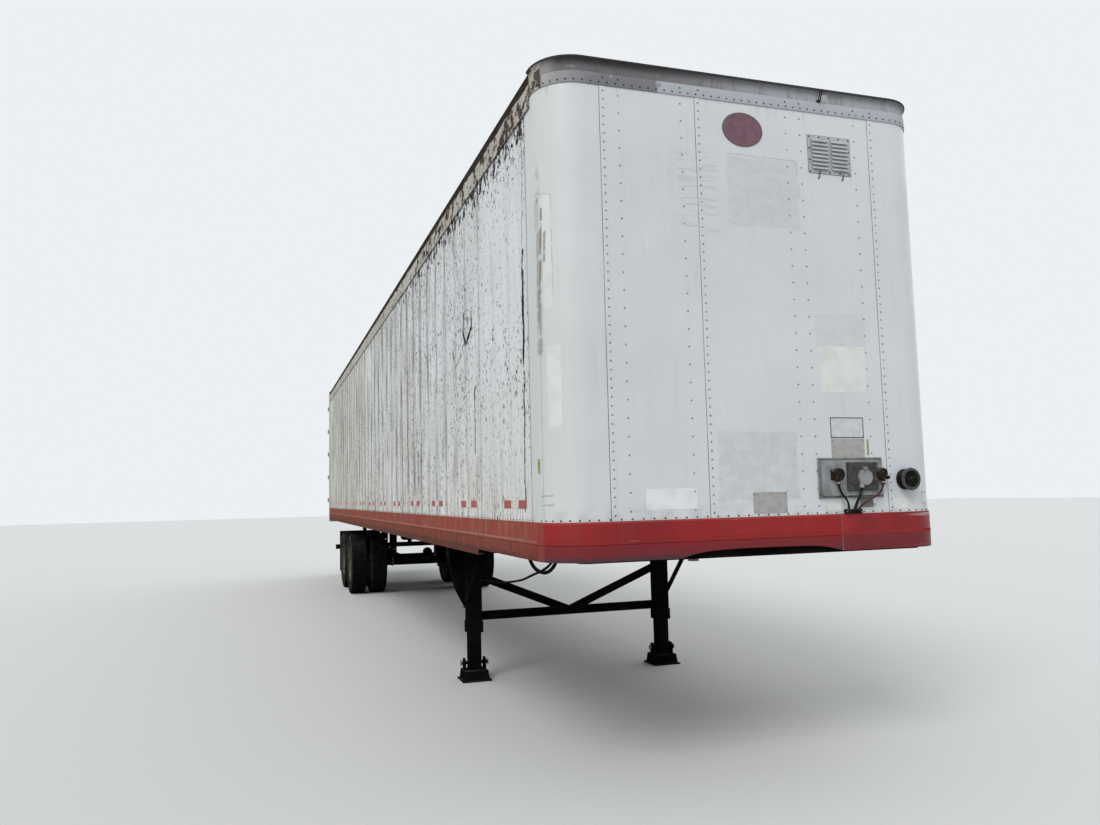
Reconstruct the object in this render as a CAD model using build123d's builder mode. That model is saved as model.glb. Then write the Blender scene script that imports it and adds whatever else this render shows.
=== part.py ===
from build123d import *
from math import asin, degrees, pi, radians, sin, tan
import os

# Two-axle box semi trailer, sheet-and-post body, in millimetres.
# +Z is up, the nose faces -Y, +X is the road side and -X is the curb side.

os.makedirs("parts", exist_ok=True)

# Overall size of the box body
LENGTH = 16154
WIDTH = 2591
HEIGHT = 4115
CORNER_RADIUS = 245

# Bottom rails
RAIL_BOTTOM = 1222
RAIL_HEIGHT = 255
RAIL_THICKNESS = 8
RAIL_FLANGE = 48
NOSE_RAIL_BOTTOM = 1260
DENT_EDGE = ((-0.42, -5), (-0.345, 22), (-0.235, 37), (0.02, 41), (0.22, 38), (0.3, 31),
             (0.365, 14), (0.42, -5))
NOSE_RAIL_END = 25
CORNER_LEG = 136
BEAD_PROUD = 4
BEAD_HEIGHT = 18
BEAD_LEVEL = 1362
NOTCH_BACK = 1720

# Walls, floor and roof
WALL_THICKNESS = 38
FLOOR_BOTTOM = 1354
FLOOR_THICKNESS = 35
SIDE_TOP_RAIL_HEIGHT = 228
FRONT_TOP_RAIL_HEIGHT = 163
TOP_RAIL_ROUND = 26
TOP_RAIL_FLANGE = 64
ROOF_THICKNESS = 4
BOW_DEPTH = 30
BOW_WIDTH = 44
BOW_PITCH = 610

# Cross members under the floor
MEMBER_HEIGHT = 102
MEMBER_WIDTH = 58
MEMBER_WEB = 6
MEMBER_PITCH = 305
FIRST_MEMBER = 230

# Rear frame and its two swing doors
FRAME_INSET = 6
FRAME_DEPTH = 110
POST_WIDTH = 75
HEADER_HEIGHT = 120
SILL_BOTTOM = 1178
DOOR_THICKNESS = 45
DOOR_GAP = 8
HINGE_COUNT = 5
HINGE_OUTSET = 14
HINGE_STANDOFF = 42
HINGE_PIN_RADIUS = 8
HINGE_CLEARANCE = 0.5
KNUCKLE_RADIUS = 14
STRAP_THICKNESS = 8
STRAP_HEIGHT = 60
STRAP_REACH = 320
LUG_THICKNESS = 14
LUG_GAP = 2
LUG_ROOT = 2
ROD_RADIUS = 13.5
ROD_OFFSET = 24
ROD_PLACES = (280, 930)
ROD_OVERRUN = 75
GUIDE_SIZE = (70, 46)
GUIDE_SHARES = (0.04, 0.6, 0.96)
CAM_SIZE = (34, 36, 30)
CAM_END_GAP = 18
KEEPER_GAP = 50
KEEPER_SIZE = (10, 42, 34)
HANDLE_LENGTH = 330
HANDLE_SIZE = (8, 34)
HANDLE_LEVEL = 1690
HASP_SIZE = (44, 38, 60)
HASP_END_GAP = 40

# Lamps on the rear frame: two on each end of the sill, three small ones in the header
LAMP_RADIUS = 50
LAMP_PLACES = (1050, 1170)
LAMP_LEVEL = 1282
LAMP_DEPTH = 14
LAMP_BEZEL = 6
SMALL_LAMP_RADIUS = 22
SMALL_LAMP_PITCH = 170

# Upper coupler and kingpin
COUPLER_BOTTOM = 1252
COUPLER_PLATE = 10
COUPLER_HALF_WIDTH = 1120
COUPLER_SETBACK = 34
COUPLER_BACK = 1690
COUPLER_RIB = 12
COUPLER_BAYS = 6
COUPLER_ROUND = 60
BAY_ROUND = 40
KINGPIN_SETBACK = 914
KINGPIN_SHOULDER_RADIUS = 36.5
KINGPIN_NECK_RADIUS = 25.4
KINGPIN_FLANGE_RADIUS = 35.7
KINGPIN_SHOULDER = 36
KINGPIN_NECK = 35
KINGPIN_FLANGE = 13

# Landing gear
LEG_X = 925
LEG_BAY_COUNT = 40
LEG_OUTER = 127
LEG_OUTER_WALL = 7
LEG_INNER = 108
LEG_INNER_WALL = 6
LEG_COLLAR = 142
COLLAR_BOTTOM = 422
COLLAR_HEIGHT = 100
LEG_INSERT = 300
SHOE_SIZE = 262
SHOE_PLATE = 12
SHOE_STEP = 18
SHOE_TOP_SIZE = 208
SHOE_HEIGHT = 92
SHOE_EAR_TOP = 196
SHOE_EAR = 12
SHOE_EAR_GAP = 32
SHOE_EAR_WIDTH = 92
SHOE_EAR_ROUND = 36
SHOE_BOLT_RADIUS = 15
SHOE_BOLT_LEVEL = 152
SHOE_BOLT_LENGTH = 236
MOUNT_WIDTH = 300
WING_THICKNESS = 10
WING_REACH = 200
WING_LEVEL = 1040
WING_WAIST = 152
WING_WAIST_LEVEL = 835
WING_POINT = 640
STRUT_WIDTH = 50
STRUT_THICKNESS = 12
STRUT_LEVEL = 672
STRUT_REACH = 2
STRUT_FOOT = 70
BRACE_LEVEL = 561
BRACE_HEIGHT = 76
BRACE_DEPTH = 44
BRACE_WALL = 7
DIAGONAL_WIDTH = 80
DIAGONAL_TOP = 872
DIAGONAL_DEPTH = 10
GEARBOX_SIZE = (96, 120, 190)
GEAR_COVER_SIZE = (60, 120, 150)
GEARBOX_ROUND = 20
CRANK_LEVEL = 1128
CROSS_SHAFT_RADIUS = 15
CRANK_RADIUS = 11
CRANK_REACH = 1175
CRANK_ARM = 300
CRANK_BEND = 33
CRANK_GRIP = 150

# Sliding tandem: rails under the body and the bogie frame between them
SLIDE_RAIL_INSET = 680.5
SLIDE_RAIL_BOTTOM = 1130
SLIDE_RAIL_WALL = 8
SLIDE_RAIL_FLANGE = 84
SLIDE_RAIL_LIP = 45
SLIDE_RAIL_FRONT = 2500
SLIDE_RAIL_BACK = 7740
LOCK_HOLE_RADIUS = 19
LOCK_HOLE_PITCH = 152
LOCK_HOLE_COUNT = 25
LOCK_ROW_SHIFT = 500
SLIDE_CLEARANCE = 6
BOGIE_Y = 4222
AXLE_SPREAD = 1245
BOGIE_LENGTH = 2620
BOGIE_RAIL_HEIGHT = 102
BOGIE_RAIL_WIDTH = 78
BOGIE_RAIL_WALL = 9
BOGIE_TUBE_RADIUS = 45
BOGIE_TUBE_PLACES = (-1128, -820, 0, 1128)

# Leaf springs
SPRING_INSET = 56
LEAF_WIDTH = 76
LEAF_THICKNESS = 15
LEAF_COUNT = 3
SPRING_SPAN = 1010
SPRING_CAMBER = 88
LEAF_STEP = 0.2
SEAT_HEIGHT = 110
SEAT_LENGTH = 190
SEAT_LAP = 12
HANGER_WIDTH = 98
HANGER_WALL = 8
HANGER_TOP = 300
HANGER_FOOT = 170
HANGER_DROP = 430
EQUALIZER_WIDTH = 70
EQUALIZER_HALF = 170
EQUALIZER_TIP = 22
EQUALIZER_PEAK = 66
EQUALIZER_ROOM = 88
TORQUE_ARM_WIDTH = 50
TORQUE_ARM_HEIGHT = 46
TORQUE_EYE_RADIUS = 30
TORQUE_EYE_RISE = 30
TORQUE_SEAT_LEVEL = 575

# Axles, wheels and tyres
TYRE_RADIUS = 520
TYRE_WIDTH = 280
TYRE_INSET = 25.5
DUAL_SPACING = 340
RIM_RADIUS = 286
RIM_WIDTH = 230
RIM_WALL = 9
DISC_WALL = 12
DISC_DISH = 80
HAND_HOLE_RADIUS = 25
HAND_HOLE_CIRCLE = 245
HAND_HOLE_COUNT = 5
HUB_RADIUS = 108
HUB_LENGTH = 300
HUB_OVERHANG = 110
HUB_CAP_RADIUS = 72
HUB_CAP_LENGTH = 60
DRUM_RADIUS = 212
DRUM_LENGTH = 190
DRUM_WALL = 16
BEARING_CLEARANCE = 3
AXLE_RADIUS = 63.5
SPINDLE_RADIUS = 42
SHIELD_WALL = 6
SHIELD_GAP = 5
BRAKE_X = 400
BRAKE_ARM = 44
BRAKE_REACH = 150
BRAKE_LENGTH = 170
BRAKE_RADIUS = 82
TYRE_PROFILE = ((0.8, 0), (0.96, 0.3), (1, 0.55), (0.93, 0.9), (0.82, 1))

# Fittings on the front wall
VENT_X = 581
VENT_DROP = 427
VENT_SIZE = (306, 240)
VENT_ROW_COUNT = 8
VENT_MARGIN = 20
VENT_PLATE = 3
LOUVRE_PROUD = 13
LOUVRE_WALL = 2
LOUVRE_CURVE = ((0, 0.36), (-0.72, 0.1), (-1, -0.36))
CONNECTOR_CENTRE = (604, 1690)
CONNECTOR_SIZE = (454, 240)
CONNECTOR_DEPTH = 26
CONNECTOR_FLANGE = 4
CONNECTOR_RIM = 14
CONNECTOR_ROUND = 10
GLADHAND_PLACES = (489, 806)
GLADHAND_LEVEL = 1708
GLADHAND_REACH = 62
GLADHAND_SIZE = (84, 64)
GLADHAND_ROUND = 12
SPOUT_RADIUS = 12
SPOUT_LENGTH = 30
SOCKET_PLACE = (676, 1692)
SOCKET_RADIUS = 48
SOCKET_DEPTH = 30
GLAND_SHIFT = 24
GLAND_RADIUS = 14
GLAND_LENGTH = 62
TUBE_CENTRE = (1000, 1675)
TUBE_RADIUS = 63
TUBE_LENGTH = 62
TUBE_CAP = 10
TUBE_CAP_LIP = 4
GROMMET_PLACE = 605
GROMMET_SIZE = (112, 26, 22)

# Rear underride guard, mud flaps and air tank
GUARD_BOTTOM = 560
GUARD_TUBE = 100
GUARD_HALF_WIDTH = 1150
GUARD_STRUT_X = 510
GUARD_STRUT_WIDTH = 80
GUARD_SETBACK = 40
FLAP_WIDTH = 600
FLAP_THICKNESS = 9
FLAP_BOTTOM = 260
FLAP_TOP = 1010
FLAP_SETBACK = 120
FLAP_ARM_DEPTH = 50
FLAP_ARM_HEIGHT = 60
TANK_RADIUS = 118
TANK_LENGTH = 760

# Cords: leads on the front wall, a hose loop and a cable under the nose
LEAD_RADIUS = 6
ELECTRIC_RADIUS = 9
SERVICE_BENDS = ((0.14, 0.06, 0.315), (0.86, 0.39, 0.68))
ELECTRIC_BENDS = ((0.29, 0.07, 0.354), (0.88, 0.5, 0.685))
EMERGENCY_BENDS = ((0.1, 0.02, 0.296), (0.419, 0.13, 0.536), (0.83, 0.55, 0.743))
LEAD_SHIFTS = (-30, 12, 40)
LEAD_INSET = 13
HOSE_RADIUS = 11
HOSE_TABLE = ((1200, 807, 0), (1200, 777, 84), (1198, 677, 154), (1195, 557, 176), (1192, 437, 174),
              (1188, 327, 142), (1184, 247, 78), (1182, 215, 0))
CABLE_RADIUS = 8
CABLE_START = (885, 885)
CABLE_END = (1150, 627, 174)
CABLE_RISE = ((1151, 480, 130), (1149, 390, 70), (1148, 350, 0))
CABLE_RUN_COUNT = 12
CABLE_SWAY = 12
CABLE_SAG = 45
CABLE_BOW = 0.65
CORNER_SHARE = 0.45

# Places worked out from the sizes above
FRONT = -LENGTH / 2
REAR = LENGTH / 2
SIDE = WIDTH / 2
RAIL_TOP = RAIL_BOTTOM + RAIL_HEIGHT
RAIL_FACE = BEAD_PROUD
WALL_INSET = RAIL_FACE + RAIL_THICKNESS
INNER_INSET = WALL_INSET + WALL_THICKNESS
FLOOR_TOP = FLOOR_BOTTOM + FLOOR_THICKNESS
WALL_TOP = HEIGHT - ROOF_THICKNESS - RAIL_THICKNESS / 2 - TOP_RAIL_ROUND
FRAME_BACK = REAR - FRAME_INSET
FRAME_FRONT = FRAME_BACK - FRAME_DEPTH
LEG_Y = FRAME_FRONT - FIRST_MEMBER - (LEG_BAY_COUNT + 0.5) * MEMBER_PITCH
NOSE_RAIL_BACK = FRONT + CORNER_RADIUS + NOSE_RAIL_END
NOTCH_END = FRONT + NOTCH_BACK
WALL_SEAM = FRONT + CORNER_RADIUS + CORNER_LEG
COUPLER_END = FRONT + COUPLER_BACK
WALL_FACE = FRONT + WALL_INSET
VENT_CENTRE = (VENT_X, HEIGHT - VENT_DROP)
DOOR_EDGE = SIDE - POST_WIDTH - DOOR_GAP
DOOR_BOTTOM = FLOOR_TOP + DOOR_GAP
DOOR_TOP = HEIGHT - HEADER_HEIGHT - DOOR_GAP
PIN_X = SIDE + HINGE_OUTSET
PIN_Y = REAR + HINGE_STANDOFF
AXLE_PLACES = (("front", BOGIE_Y - AXLE_SPREAD / 2), ("rear", BOGIE_Y + AXLE_SPREAD / 2))
TYRE_OUTER_FACE = SIDE - TYRE_INSET
WHEEL_OUTER_X = TYRE_OUTER_FACE - TYRE_WIDTH / 2
WHEEL_INNER_X = WHEEL_OUTER_X - DUAL_SPACING
WHEEL_MID_X = (WHEEL_OUTER_X + WHEEL_INNER_X) / 2
SLIDE_RAIL_X = SIDE - SLIDE_RAIL_INSET
SPRING_X = SLIDE_RAIL_X - SPRING_INSET
BOGIE_RAIL_OUTER = SLIDE_RAIL_X - SLIDE_CLEARANCE
BOGIE_RAIL_TOP = FLOOR_BOTTOM - MEMBER_HEIGHT - SLIDE_RAIL_WALL - SLIDE_CLEARANCE
BOGIE_RAIL_BOTTOM = BOGIE_RAIL_TOP - BOGIE_RAIL_HEIGHT
SIDES = (("curb", -1), ("road", 1))


def save(piece, name):
    """Label a finished piece and write it to its own file."""
    piece.part.label = name
    export_step(piece.part, f"parts/{name}.step")


def across(y):
    """A plane square to the trailer's length: sketch X is X, sketch Y is Z."""
    return Plane(origin=(0, y, 0), x_dir=(1, 0, 0), z_dir=(0, -1, 0))


def nose_plan(inset, back, mode=Mode.ADD):
    """Plan of the body with its rounded nose, inset from the overall size."""
    half = SIDE - inset
    radius = CORNER_RADIUS - inset
    with BuildLine() as outline:
        FilletPolyline((-half, back), (-half, FRONT + inset), (half, FRONT + inset), (half, back),
                       radius=radius)
        Line((half, back), (-half, back))
    make_face(outline.edges(), mode=mode)


def tube_along(points, radii, radius, name):
    """A cord's tube: straight runs joined by tangent arcs."""
    with BuildPart() as tube:
        with BuildLine() as route:
            FilletPolyline(*points, radius=radii)
        with BuildSketch(Plane(origin=route.line @ 0, z_dir=route.line % 0)):
            Circle(radius)
        sweep(path=route.line)
    save(tube, name)


# Floor, cross members and walls
with BuildPart() as floor_deck:
    with BuildSketch(Plane.XY.offset(FLOOR_BOTTOM)):
        nose_plan(INNER_INSET, FRAME_FRONT)
    extrude(amount=FLOOR_THICKNESS)
save(floor_deck, "floor_deck")

member_start = FRAME_FRONT - FIRST_MEMBER
member_count = 1 + int((member_start - MEMBER_WIDTH - COUPLER_END) // MEMBER_PITCH)
with BuildPart() as cross_members:
    with BuildSketch(Plane.YZ.offset(-(SIDE - WALL_INSET))):
        for i in range(member_count):
            with Locations((member_start - i * MEMBER_PITCH, FLOOR_BOTTOM - MEMBER_HEIGHT / 2)):
                Rectangle(MEMBER_WIDTH, MEMBER_HEIGHT)
                for side in (-1, 1):
                    with Locations((side * (MEMBER_WIDTH + MEMBER_WEB) / 4, 0)):
                        Rectangle((MEMBER_WIDTH - MEMBER_WEB) / 2, MEMBER_HEIGHT - 2 * MEMBER_WEB,
                                  mode=Mode.SUBTRACT)
    extrude(amount=2 * (SIDE - WALL_INSET))
save(cross_members, "cross_members")

with BuildPart() as side_walls:
    with BuildSketch(Plane.XY.offset(FLOOR_BOTTOM)):
        with Locations((0, (WALL_SEAM + FRAME_FRONT) / 2)):
            with GridLocations(2 * (SIDE - WALL_INSET) - WALL_THICKNESS, 0, 2, 1):
                Rectangle(WALL_THICKNESS, FRAME_FRONT - WALL_SEAM)
    extrude(amount=WALL_TOP - FLOOR_BOTTOM)
save(side_walls, "side_walls")

with BuildPart() as front_wall:
    with BuildSketch(Plane.XY.offset(FLOOR_BOTTOM)):
        nose_plan(WALL_INSET, WALL_SEAM)
        nose_plan(INNER_INSET, WALL_SEAM, mode=Mode.SUBTRACT)
    extrude(amount=WALL_TOP - FLOOR_BOTTOM)
save(front_wall, "front_wall")

# Bottom rails: a web with a rolled bead, and a flange under the cross members
with BuildPart() as side_rails:
    with BuildSketch(across(FRAME_FRONT)):
        for sign in (-1, 1):
            with Locations((sign * (SIDE - RAIL_FACE - RAIL_THICKNESS / 2), RAIL_BOTTOM + RAIL_HEIGHT / 2)):
                Rectangle(RAIL_THICKNESS, RAIL_HEIGHT)
            with Locations((sign * (SIDE - RAIL_FACE - RAIL_FLANGE / 2), RAIL_BOTTOM + RAIL_THICKNESS / 2)):
                Rectangle(RAIL_FLANGE, RAIL_THICKNESS)
            with Locations((sign * (SIDE - BEAD_PROUD / 2), BEAD_LEVEL)):
                Rectangle(BEAD_PROUD, BEAD_HEIGHT)
    extrude(amount=FRAME_FRONT - NOSE_RAIL_BACK)
    with BuildSketch(across(NOTCH_END)):
        with Locations((0, (RAIL_BOTTOM + NOSE_RAIL_BOTTOM) / 2)):
            Rectangle(WIDTH, NOSE_RAIL_BOTTOM - RAIL_BOTTOM)
    extrude(amount=NOTCH_END - NOSE_RAIL_BACK, mode=Mode.SUBTRACT)
save(side_rails, "side_rails")

with BuildPart() as nose_rail:
    with BuildSketch(Plane.XY.offset(NOSE_RAIL_BOTTOM)):
        nose_plan(RAIL_FACE, NOSE_RAIL_BACK)
        nose_plan(WALL_INSET, NOSE_RAIL_BACK, mode=Mode.SUBTRACT)
    extrude(amount=RAIL_TOP - NOSE_RAIL_BOTTOM)
    with BuildSketch(Plane.XY.offset(BEAD_LEVEL - BEAD_HEIGHT / 2)):
        nose_plan(0, NOSE_RAIL_BACK)
        nose_plan(RAIL_FACE, NOSE_RAIL_BACK, mode=Mode.SUBTRACT)
    extrude(amount=BEAD_HEIGHT)
    with BuildSketch(across(FRONT + WALL_INSET)):
        with BuildLine():
            dent = Spline(*[(share * SIDE, NOSE_RAIL_BOTTOM + rise) for share, rise in DENT_EDGE])
            Line(dent @ 1, dent @ 0)
        make_face()
    extrude(amount=WALL_INSET, mode=Mode.SUBTRACT)
save(nose_rail, "nose_rail")

# Top rails with their rounded shoulder, and the roof between them
RAIL_CROWN = HEIGHT - ROOF_THICKNESS
face = SIDE - RAIL_FACE - RAIL_THICKNESS / 2
crown = RAIL_CROWN - RAIL_THICKNESS / 2
with BuildPart() as top_rails:
    with BuildSketch(across(FRAME_FRONT)):
        for sign in (-1, 1):
            with BuildLine():
                FilletPolyline((sign * face, HEIGHT - SIDE_TOP_RAIL_HEIGHT), (sign * face, crown),
                               (sign * (face - TOP_RAIL_FLANGE), crown), radius=TOP_RAIL_ROUND)
            trace(line_width=RAIL_THICKNESS)
    extrude(amount=FRAME_FRONT - NOSE_RAIL_BACK)
save(top_rails, "top_rails")

with BuildPart() as front_top_rail:
    with BuildLine() as nose_line:
        FilletPolyline((-face, NOSE_RAIL_BACK, crown), (-face, FRONT + SIDE - face, crown),
                       (face, FRONT + SIDE - face, crown), (face, NOSE_RAIL_BACK, crown),
                       radius=CORNER_RADIUS - SIDE + face)
    with BuildSketch(across(NOSE_RAIL_BACK)):
        with BuildLine():
            FilletPolyline((-face, HEIGHT - FRONT_TOP_RAIL_HEIGHT), (-face, crown),
                           (TOP_RAIL_FLANGE - face, crown), radius=TOP_RAIL_ROUND)
        trace(line_width=RAIL_THICKNESS)
    sweep(path=nose_line.line)
save(front_top_rail, "front_top_rail")

with BuildPart() as roof_sheet:
    with BuildSketch(Plane.XY.offset(RAIL_CROWN)):
        nose_plan(SIDE - face + TOP_RAIL_ROUND, FRAME_FRONT)
    extrude(amount=ROOF_THICKNESS)
save(roof_sheet, "roof_sheet")

bow_count = int((FRAME_FRONT - WALL_SEAM) // BOW_PITCH)
with BuildPart() as roof_bows:
    with BuildSketch(Plane.XY.offset(RAIL_CROWN)):
        for i in range(bow_count):
            with Locations((0, WALL_SEAM + (i + 0.5) * BOW_PITCH)):
                Rectangle(2 * (face - TOP_RAIL_FLANGE), BOW_WIDTH)
    extrude(amount=-BOW_DEPTH)
save(roof_bows, "roof_bows")

# Rear frame with its hinge lugs, pins and lock-rod keepers
hinge_step = (DOOR_TOP - DOOR_BOTTOM) / HINGE_COUNT
hinge_levels = [DOOR_BOTTOM + (i + 0.5) * hinge_step for i in range(HINGE_COUNT)]
ROD_BOTTOM = DOOR_BOTTOM - ROD_OVERRUN
ROD_TOP = DOOR_TOP + ROD_OVERRUN
with BuildPart() as rear_frame:
    with BuildSketch(across(FRAME_BACK)):
        with Locations((0, (SILL_BOTTOM + HEIGHT) / 2)):
            Rectangle(WIDTH, HEIGHT - SILL_BOTTOM)
        with Locations((0, (FLOOR_TOP + HEIGHT - HEADER_HEIGHT) / 2)):
            Rectangle(2 * (SIDE - POST_WIDTH), HEIGHT - HEADER_HEIGHT - FLOOR_TOP, mode=Mode.SUBTRACT)
    extrude(amount=FRAME_DEPTH)
    for sign in (-1, 1):
        for level in hinge_levels:
            for lift in (-1, 1):
                middle = level + lift * (STRAP_HEIGHT / 2 + LUG_GAP + LUG_THICKNESS / 2)
                with BuildSketch(Plane.XY.offset(middle - LUG_THICKNESS / 2)):
                    with Locations((sign * PIN_X, PIN_Y)):
                        Circle(KNUCKLE_RADIUS)
                    with BuildLine():
                        Polyline((sign * PIN_X, PIN_Y),
                                 (sign * (SIDE - POST_WIDTH / 2), FRAME_BACK - LUG_ROOT))
                    trace(line_width=2 * KNUCKLE_RADIUS)
                extrude(amount=LUG_THICKNESS)
            with Locations((sign * PIN_X, PIN_Y, level)):
                Cylinder(HINGE_PIN_RADIUS, STRAP_HEIGHT + 2 * LUG_GAP + LUG_THICKNESS)
    for sign in (-1, 1):
        for place in ROD_PLACES:
            for level in (ROD_BOTTOM + CAM_END_GAP, ROD_TOP - CAM_END_GAP):
                with Locations((sign * place, FRAME_BACK + KEEPER_SIZE[1] / 2, level)):
                    with GridLocations(KEEPER_GAP + KEEPER_SIZE[0], 0, 2, 1):
                        Box(*KEEPER_SIZE)
save(rear_frame, "rear_frame")

lamp_places = [(sign * x, LAMP_LEVEL, LAMP_RADIUS) for sign in (-1, 1) for x in LAMP_PLACES]
lamp_places += [(i * SMALL_LAMP_PITCH, HEIGHT - HEADER_HEIGHT / 2, SMALL_LAMP_RADIUS) for i in (-1, 0, 1)]
with BuildPart() as tail_lamps:
    for depth, inset in ((LAMP_DEPTH - LAMP_BEZEL, 0), (LAMP_DEPTH, LAMP_BEZEL)):
        with BuildSketch(across(FRAME_BACK)):
            for x, level, radius in lamp_places:
                with Locations((x, level)):
                    Circle(radius - inset)
        extrude(amount=-depth)
save(tail_lamps, "tail_lamps")

# Doors: a flat panel, with straps and lock rods on its outer face
for name, sign in SIDES:
    with BuildPart() as door_panel:
        with BuildSketch(across(REAR)):
            with Locations((sign * (DOOR_EDGE + DOOR_GAP / 2) / 2, (DOOR_BOTTOM + DOOR_TOP) / 2)):
                Rectangle(DOOR_EDGE - DOOR_GAP / 2, DOOR_TOP - DOOR_BOTTOM)
        extrude(amount=DOOR_THICKNESS)
    save(door_panel, f"door_panel_{name}")

    with BuildPart() as door_straps:
        for level in hinge_levels:
            with BuildSketch(Plane.XY.offset(level - STRAP_HEIGHT / 2)):
                with BuildLine():
                    Polyline((sign * (DOOR_EDGE - STRAP_REACH), REAR + STRAP_THICKNESS / 2),
                             (sign * (SIDE - POST_WIDTH / 2), REAR + STRAP_THICKNESS / 2),
                             (sign * PIN_X, PIN_Y))
                trace(line_width=STRAP_THICKNESS)
                with Locations((sign * PIN_X, PIN_Y)):
                    Circle(KNUCKLE_RADIUS)
                    Circle(HINGE_PIN_RADIUS + HINGE_CLEARANCE, mode=Mode.SUBTRACT)
            extrude(amount=STRAP_HEIGHT)
    save(door_straps, f"door_straps_{name}")

    with BuildPart() as lock_rods:
        for place in ROD_PLACES:
            with BuildSketch(Plane.XY.offset(ROD_BOTTOM)):
                with Locations((sign * place, REAR + ROD_OFFSET)):
                    Circle(ROD_RADIUS)
            extrude(amount=ROD_TOP - ROD_BOTTOM)
            for share in GUIDE_SHARES:
                level = DOOR_BOTTOM + share * (DOOR_TOP - DOOR_BOTTOM)
                with Locations((sign * place, REAR + ROD_OFFSET / 2, level)):
                    Box(GUIDE_SIZE[0], ROD_OFFSET, GUIDE_SIZE[1])
            for level in (ROD_BOTTOM + CAM_END_GAP, ROD_TOP - CAM_END_GAP):
                with Locations((sign * place, REAR + ROD_OFFSET, level)):
                    Box(*CAM_SIZE)
            inward = 1 if place == ROD_PLACES[0] else -1
            grip = sign * (place + inward * HANDLE_LENGTH / 2)
            with Locations((grip, REAR + ROD_OFFSET + ROD_RADIUS, HANDLE_LEVEL)):
                Box(HANDLE_LENGTH, *HANDLE_SIZE)
            hasp = sign * (place + inward * (HANDLE_LENGTH - HASP_END_GAP))
            with Locations((hasp, REAR + HASP_SIZE[1] / 2, HANDLE_LEVEL)):
                Box(*HASP_SIZE)
    save(lock_rods, f"lock_rods_{name}")

# Upper coupler: a ribbed tray under the nose, with the kingpin through its plate
coupler_front = FRONT + COUPLER_SETBACK
coupler_length = COUPLER_END - coupler_front
coupler_middle = (COUPLER_END + coupler_front) / 2
bay_length = (coupler_length - COUPLER_RIB) / COUPLER_BAYS - COUPLER_RIB
with BuildPart() as upper_coupler:
    with BuildSketch(Plane.XY.offset(COUPLER_BOTTOM)):
        with Locations((0, coupler_middle)):
            RectangleRounded(2 * COUPLER_HALF_WIDTH, coupler_length, COUPLER_ROUND)
    extrude(amount=FLOOR_BOTTOM - COUPLER_BOTTOM)
    with BuildSketch(Plane.XY.offset(COUPLER_BOTTOM + COUPLER_PLATE)):
        with Locations((0, coupler_middle)):
            with GridLocations(0, bay_length + COUPLER_RIB, 1, COUPLER_BAYS):
                RectangleRounded(2 * (COUPLER_HALF_WIDTH - COUPLER_RIB), bay_length, BAY_ROUND)
    extrude(amount=FLOOR_BOTTOM - COUPLER_BOTTOM - COUPLER_PLATE, mode=Mode.SUBTRACT)
    with Locations((0, FRONT + KINGPIN_SETBACK, COUPLER_BOTTOM)):
        Cylinder(KINGPIN_SHOULDER_RADIUS, 2 * COUPLER_PLATE, mode=Mode.SUBTRACT)
save(upper_coupler, "upper_coupler")

with BuildPart() as kingpin:
    with BuildSketch(Plane(origin=(0, FRONT + KINGPIN_SETBACK, COUPLER_BOTTOM),
                           x_dir=(1, 0, 0), z_dir=(0, -1, 0))):
        with BuildLine():
            Polyline((0, COUPLER_PLATE), (KINGPIN_SHOULDER_RADIUS, COUPLER_PLATE),
                     (KINGPIN_SHOULDER_RADIUS, -KINGPIN_SHOULDER),
                     (KINGPIN_NECK_RADIUS, -KINGPIN_SHOULDER),
                     (KINGPIN_NECK_RADIUS, -KINGPIN_SHOULDER - KINGPIN_NECK),
                     (KINGPIN_FLANGE_RADIUS, -KINGPIN_SHOULDER - KINGPIN_NECK),
                     (KINGPIN_FLANGE_RADIUS, -KINGPIN_SHOULDER - KINGPIN_NECK - KINGPIN_FLANGE),
                     (0, -KINGPIN_SHOULDER - KINGPIN_NECK - KINGPIN_FLANGE), close=True)
        make_face()
    revolve(axis=Axis((0, FRONT + KINGPIN_SETBACK, 0), (0, 0, 1)))
save(kingpin, "kingpin")

# Landing gear: outer housings with wing plates, inner tubes with sand shoes, braces and crank
MEMBER_BOTTOM = FLOOR_BOTTOM - MEMBER_HEIGHT
with BuildPart() as leg_housings:
    for side, hollow, top in ((LEG_OUTER, LEG_OUTER - 2 * LEG_OUTER_WALL, MEMBER_BOTTOM),
                              (LEG_COLLAR, LEG_INNER, COLLAR_BOTTOM + COLLAR_HEIGHT)):
        with BuildSketch(Plane.XY.offset(COLLAR_BOTTOM)):
            with Locations((0, LEG_Y)):
                with GridLocations(2 * LEG_X, 0, 2, 1):
                    Rectangle(side, side)
                    Rectangle(hollow, hollow, mode=Mode.SUBTRACT)
        extrude(amount=top - COLLAR_BOTTOM)
    with BuildSketch(across(LEG_Y + LEG_OUTER / 2 + WING_THICKNESS)):
        with BuildLine():
            Polyline((-LEG_X - WING_REACH, WING_LEVEL), (-LEG_X - WING_REACH, MEMBER_BOTTOM),
                     (LEG_OUTER / 2 - LEG_X, MEMBER_BOTTOM), (LEG_OUTER / 2 - LEG_X, WING_POINT),
                     (-LEG_X - LEG_OUTER / 2, WING_POINT))
            ThreePointArc((-LEG_X - LEG_OUTER / 2, WING_POINT), (-LEG_X - WING_WAIST, WING_WAIST_LEVEL),
                          (-LEG_X - WING_REACH, WING_LEVEL))
        make_face()
    extrude(amount=WING_THICKNESS)
    with BuildSketch(Plane.XY.offset(MEMBER_BOTTOM)):
        with Locations((0, LEG_Y)):
            with GridLocations(2 * LEG_X, 0, 2, 1):
                Rectangle(MOUNT_WIDTH, MEMBER_PITCH + MEMBER_WIDTH)
    extrude(amount=-WING_THICKNESS)
save(leg_housings, "leg_housings")

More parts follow.
